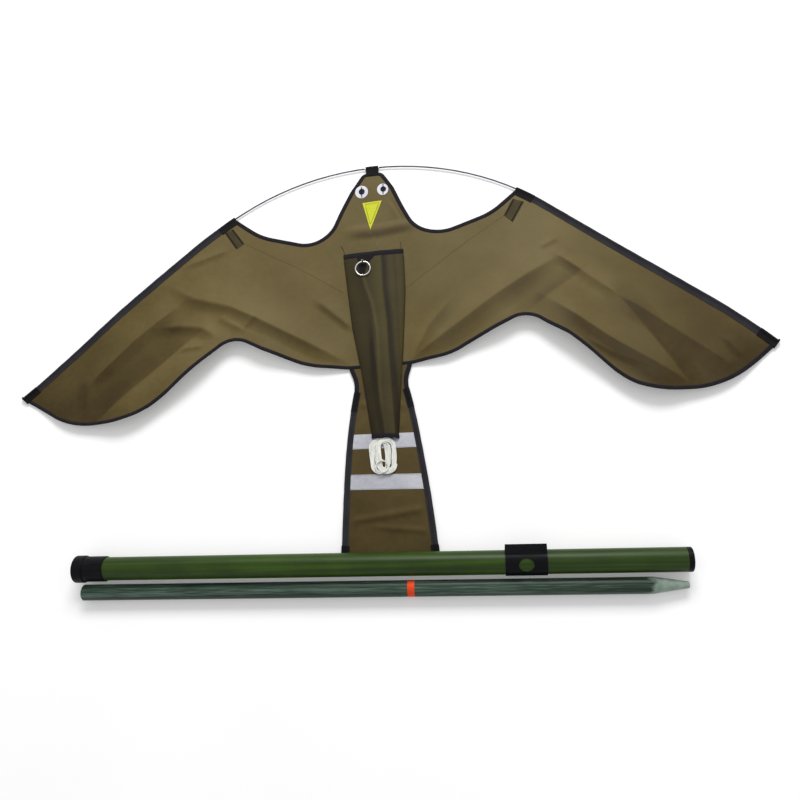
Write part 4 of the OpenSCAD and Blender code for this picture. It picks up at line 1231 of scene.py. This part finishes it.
line_shape = round_section(1.3, 10)
hank_turns = 10
hank_middle = (-2.5, -151, 7.55)
outer_radius = 21
turn_pitch = 2.35
straight_half = 20
layer_aside = 13
layer_rise = 3.0
loop_middle = np.array([-5.5, -174.5, 13.65])
loop_radius = 12.2


def hank_point(turn):
    """Half the turns are wound inwards, the others outwards on top of them and further to the right."""
    from_rim = turn if turn < hank_turns / 2 else hank_turns - turn
    radius = outer_radius - turn_pitch * from_rim
    upper = steps_in(turn, 4.4, 5.7)
    k = (turn % 1) * 24
    side = 1 if k < 12 else -1
    m = k % 12
    angle = 0 if m < 4 else math.pi * (m - 4) / 8
    straight = straight_half * (2 * m / 4 - 1) if m < 4 else straight_half
    over = side * radius * math.cos(angle)
    down = side * (straight + radius * math.sin(angle))
    taper = 0.9 + 0.1 * min(max((down + 36) / 40, 0), 1)
    wander = 0.4 * math.sin(turn * 5.1 + down / 9)
    x = hank_middle[0] + layer_aside * (upper - 0.5) + over * taper + wander
    z = hank_middle[2] + layer_rise * upper * (1 - steps_in(x, 12, 19))
    return (x, hank_middle[1] + down * 0.92, z + 0.3 * math.sin(turn * 7.3 + down / 7))


hank_line = np.array([hank_point(min(t, 9.9999)) for t in np.linspace(0, hank_turns, 481)])
hank = run_along("flying_line", hank_line, 1, line_shape, "tail", braid, "line", "line_hank")

loop_turn = full_turn(48)
loop_out = np.stack([np.sin(loop_turn), np.cos(loop_turn), np.zeros(48)], 1)
end_loop = sweep(
    "line_loop", loop_middle + loop_radius * loop_out, loop_out, [0.0, 0.0, 1.0], line_shape, closed=True
)
sewn_on(end_loop, "tail", braid, "line", "line_end_loop")

knot_turn = np.linspace(0, 4 * np.pi, 61)
knot_radius = 1.9
knot_x = -7.5 + 4 * knot_turn / knot_turn[-1]
knot_y = -162.3 + knot_radius * np.cos(knot_turn)
knot_line = np.stack([knot_x, knot_y, loop_middle[2] + knot_radius * np.sin(knot_turn)], 1)
knot_run = headings(knot_line)
knot_across = np.cross(knot_run, [1.0, 0.0, 0.0])
knot_across /= np.linalg.norm(knot_across, axis=1, keepdims=True)
knot_up = np.cross(knot_run, knot_across)
knot = sweep("line_knot_turns", knot_line, knot_across, knot_up, round_section(1.1, 8))
sewn_on(knot, "tail", braid, "line", "line_knot")

hank_path = laid(hank_line)


# Stitches: one stitch, repeated along a row and bent to its line

def stitch_row(line, pitch, wide):
    path = laid(line)
    count = max(2, int(steps(path).sum() * 1000 / pitch))
    bpy.ops.object.select_all(action="DESELECT")
    bpy.ops.mesh.primitive_uv_sphere_add(segments=8, ring_count=6, radius=1, location=(0, 0, 0))
    row = bpy.context.object
    move_points(row, (points_of(row) * [0.4 * pitch, wide / 2, 0.4] + [pitch / 2, 0, 0]) / 1000)
    with_modifier(
        row, "ARRAY", count=count, use_relative_offset=False, use_constant_offset=True,
        constant_offset_displace=(pitch / 1000, 0, 0),
    )
    curve = bpy.data.curves.new("row_line", "CURVE")
    curve.dimensions = "3D"
    curve.twist_mode = "Z_UP"
    spline = curve.splines.new("POLY")
    spline.points.add(len(path) - 1)
    for point, place in zip(spline.points, path):
        point.co = (*place, 1)
    guide = bpy.data.objects.new("row_line", curve)
    bpy.context.collection.objects.link(guide)
    with_modifier(row, "CURVE", object=guide, deform_axis="POS_X")
    bpy.data.objects.remove(guide)
    map_points(row, points_of(row)[:, :2])
    return row


def sew(name, body, finish, slot, *rows):
    """Joins the rows (line, pitch, width) into one piece."""
    made = [stitch_row(*row) for row in rows]
    hold(made[0])
    for row in made:
        row.select_set(True)
    bpy.ops.object.join()
    made[0].name = name
    return sewn_on(made[0], body, finish, slot)


def lifted(corners, height, step=4):
    """A line over the sail, as high above it as given."""
    return on_sail(spaced(corners, step), height)


def eye_row(stations):
    """A row up the middle of an eye that climbs over its pupil; stations are (x, y)."""
    return [(x, y, 6.75 if k in (2, 3) else 6.3) for k, (x, y) in enumerate(stations)]


patch_rows = [
    (lifted(patch_ends(corners, share), 1.15), 1.7, 4)
    for corners in shoulder_corners.values() for share in (0.12, 0.88)
]
left_eye = [(-26.7, 480), (-26.7, 487), (-26.5, 489), (-26.4, 504), (-26.3, 506), (-26.3, 511)]
right_eye = [(23, 483), (23.3, 488), (23.6, 490.5), (23.9, 504.5), (24, 506.5), (24, 512)]
eye_rows = [(eye_row(left_eye), 1.6, 2.8), (eye_row(right_eye), 1.6, 3)]
edge_y = np.linspace(312, 52, 60)
edge_left, edge_right = tunnel_edges(edge_y)
side_rows = [
    (on_sail(np.stack([x, edge_y], 1), 1.2), 3.2, 1.2) for x in (edge_left - 1, edge_right + 1)
]
sew("black_stitches", "kite", thread_finish, "binding", *patch_rows, *eye_rows, *side_rows)
sew(
    "olive_stitches", "kite", olive_thread, "sail_cloth",
    (lifted([(-303, 389), (-182, 311), (-74, 231)], 0.45), 3.4, 0.8),
    (lifted([(295, 393), (208, 335), (123, 272), (64, 228)], 0.45), 3.4, 0.8),
    (lifted([(-19.5, 459.5), (13, 461), (-9.2, 403), (-19.5, 459.5)], 1.4, 2), 2.6, 1.1),
)
strip_rows = []
for strip_name, drop in (("upper", 29.4), ("lower", 1.6), ("lower", 29.4)):
    top, slant = strips[strip_name]
    row_half = tail_edge(top - drop) - strip_inset - 1
    row_x = np.linspace(-row_half, row_half, 50)
    row_line = np.stack([row_x, top - drop - slant * row_x, np.full(50, strip_z + 0.3)], 1)
    strip_rows.append((row_line, 3, 0.8))
sew("strip_stitches", "tail", grey_thread, "reflective", *strip_rows)
for side_name, thread_ends in (
    ("left", [(-78, 353), (-73, 343), (-70, 331)]),
    ("right", [(57, 348), (57.6, 339), (56.5, 328)]),
):
    thread_line = lifted(thread_ends, 0.8, 1.5)
    run_along(
        "loose_thread_" + side_name, thread_line, 1, round_section(0.45, 6),
        "kite", thread_finish, "binding",
    )


# Floor: it glows a little where it is seen, more so far from the middle, so that it runs out into white

bpy.ops.object.select_all(action="DESELECT")
bpy.ops.mesh.primitive_plane_add(size=30, location=(0, 0, 0))
floor = bpy.context.object
floor.name = "studio_floor"
floor_finish, floor_tree = start_finish("studio_floor")
floor_place = place_in(floor_tree, "Object")
floor_shade = effect(floor_tree, mottle, floor_place, Scale=3)
floor_colour = mixed(floor_tree, floor_shade, (0.8, 0.8, 0.8, 1), (0.82, 0.82, 0.82, 1))
floor_reach = node(floor_tree, "VectorMath", {0: floor_place}, operation="LENGTH").outputs["Value"]
floor_far = stretched(floor_tree, floor_reach, 1.0, 3.2, interpolation_type="SMOOTHSTEP")
floor_glow = between(floor_tree, floor_far, 0.19, 0.95)
floor_glow = sums(floor_tree, "MULTIPLY", seen_directly(floor_tree), floor_glow)
glow = {"Emission Strength": floor_glow, "Emission Color": (1, 1, 1, 1), "Specular IOR Level": 0.1}
wear(floor_finish, floor_colour, 0.9, glow)
floor.data.materials.append(floor_finish)
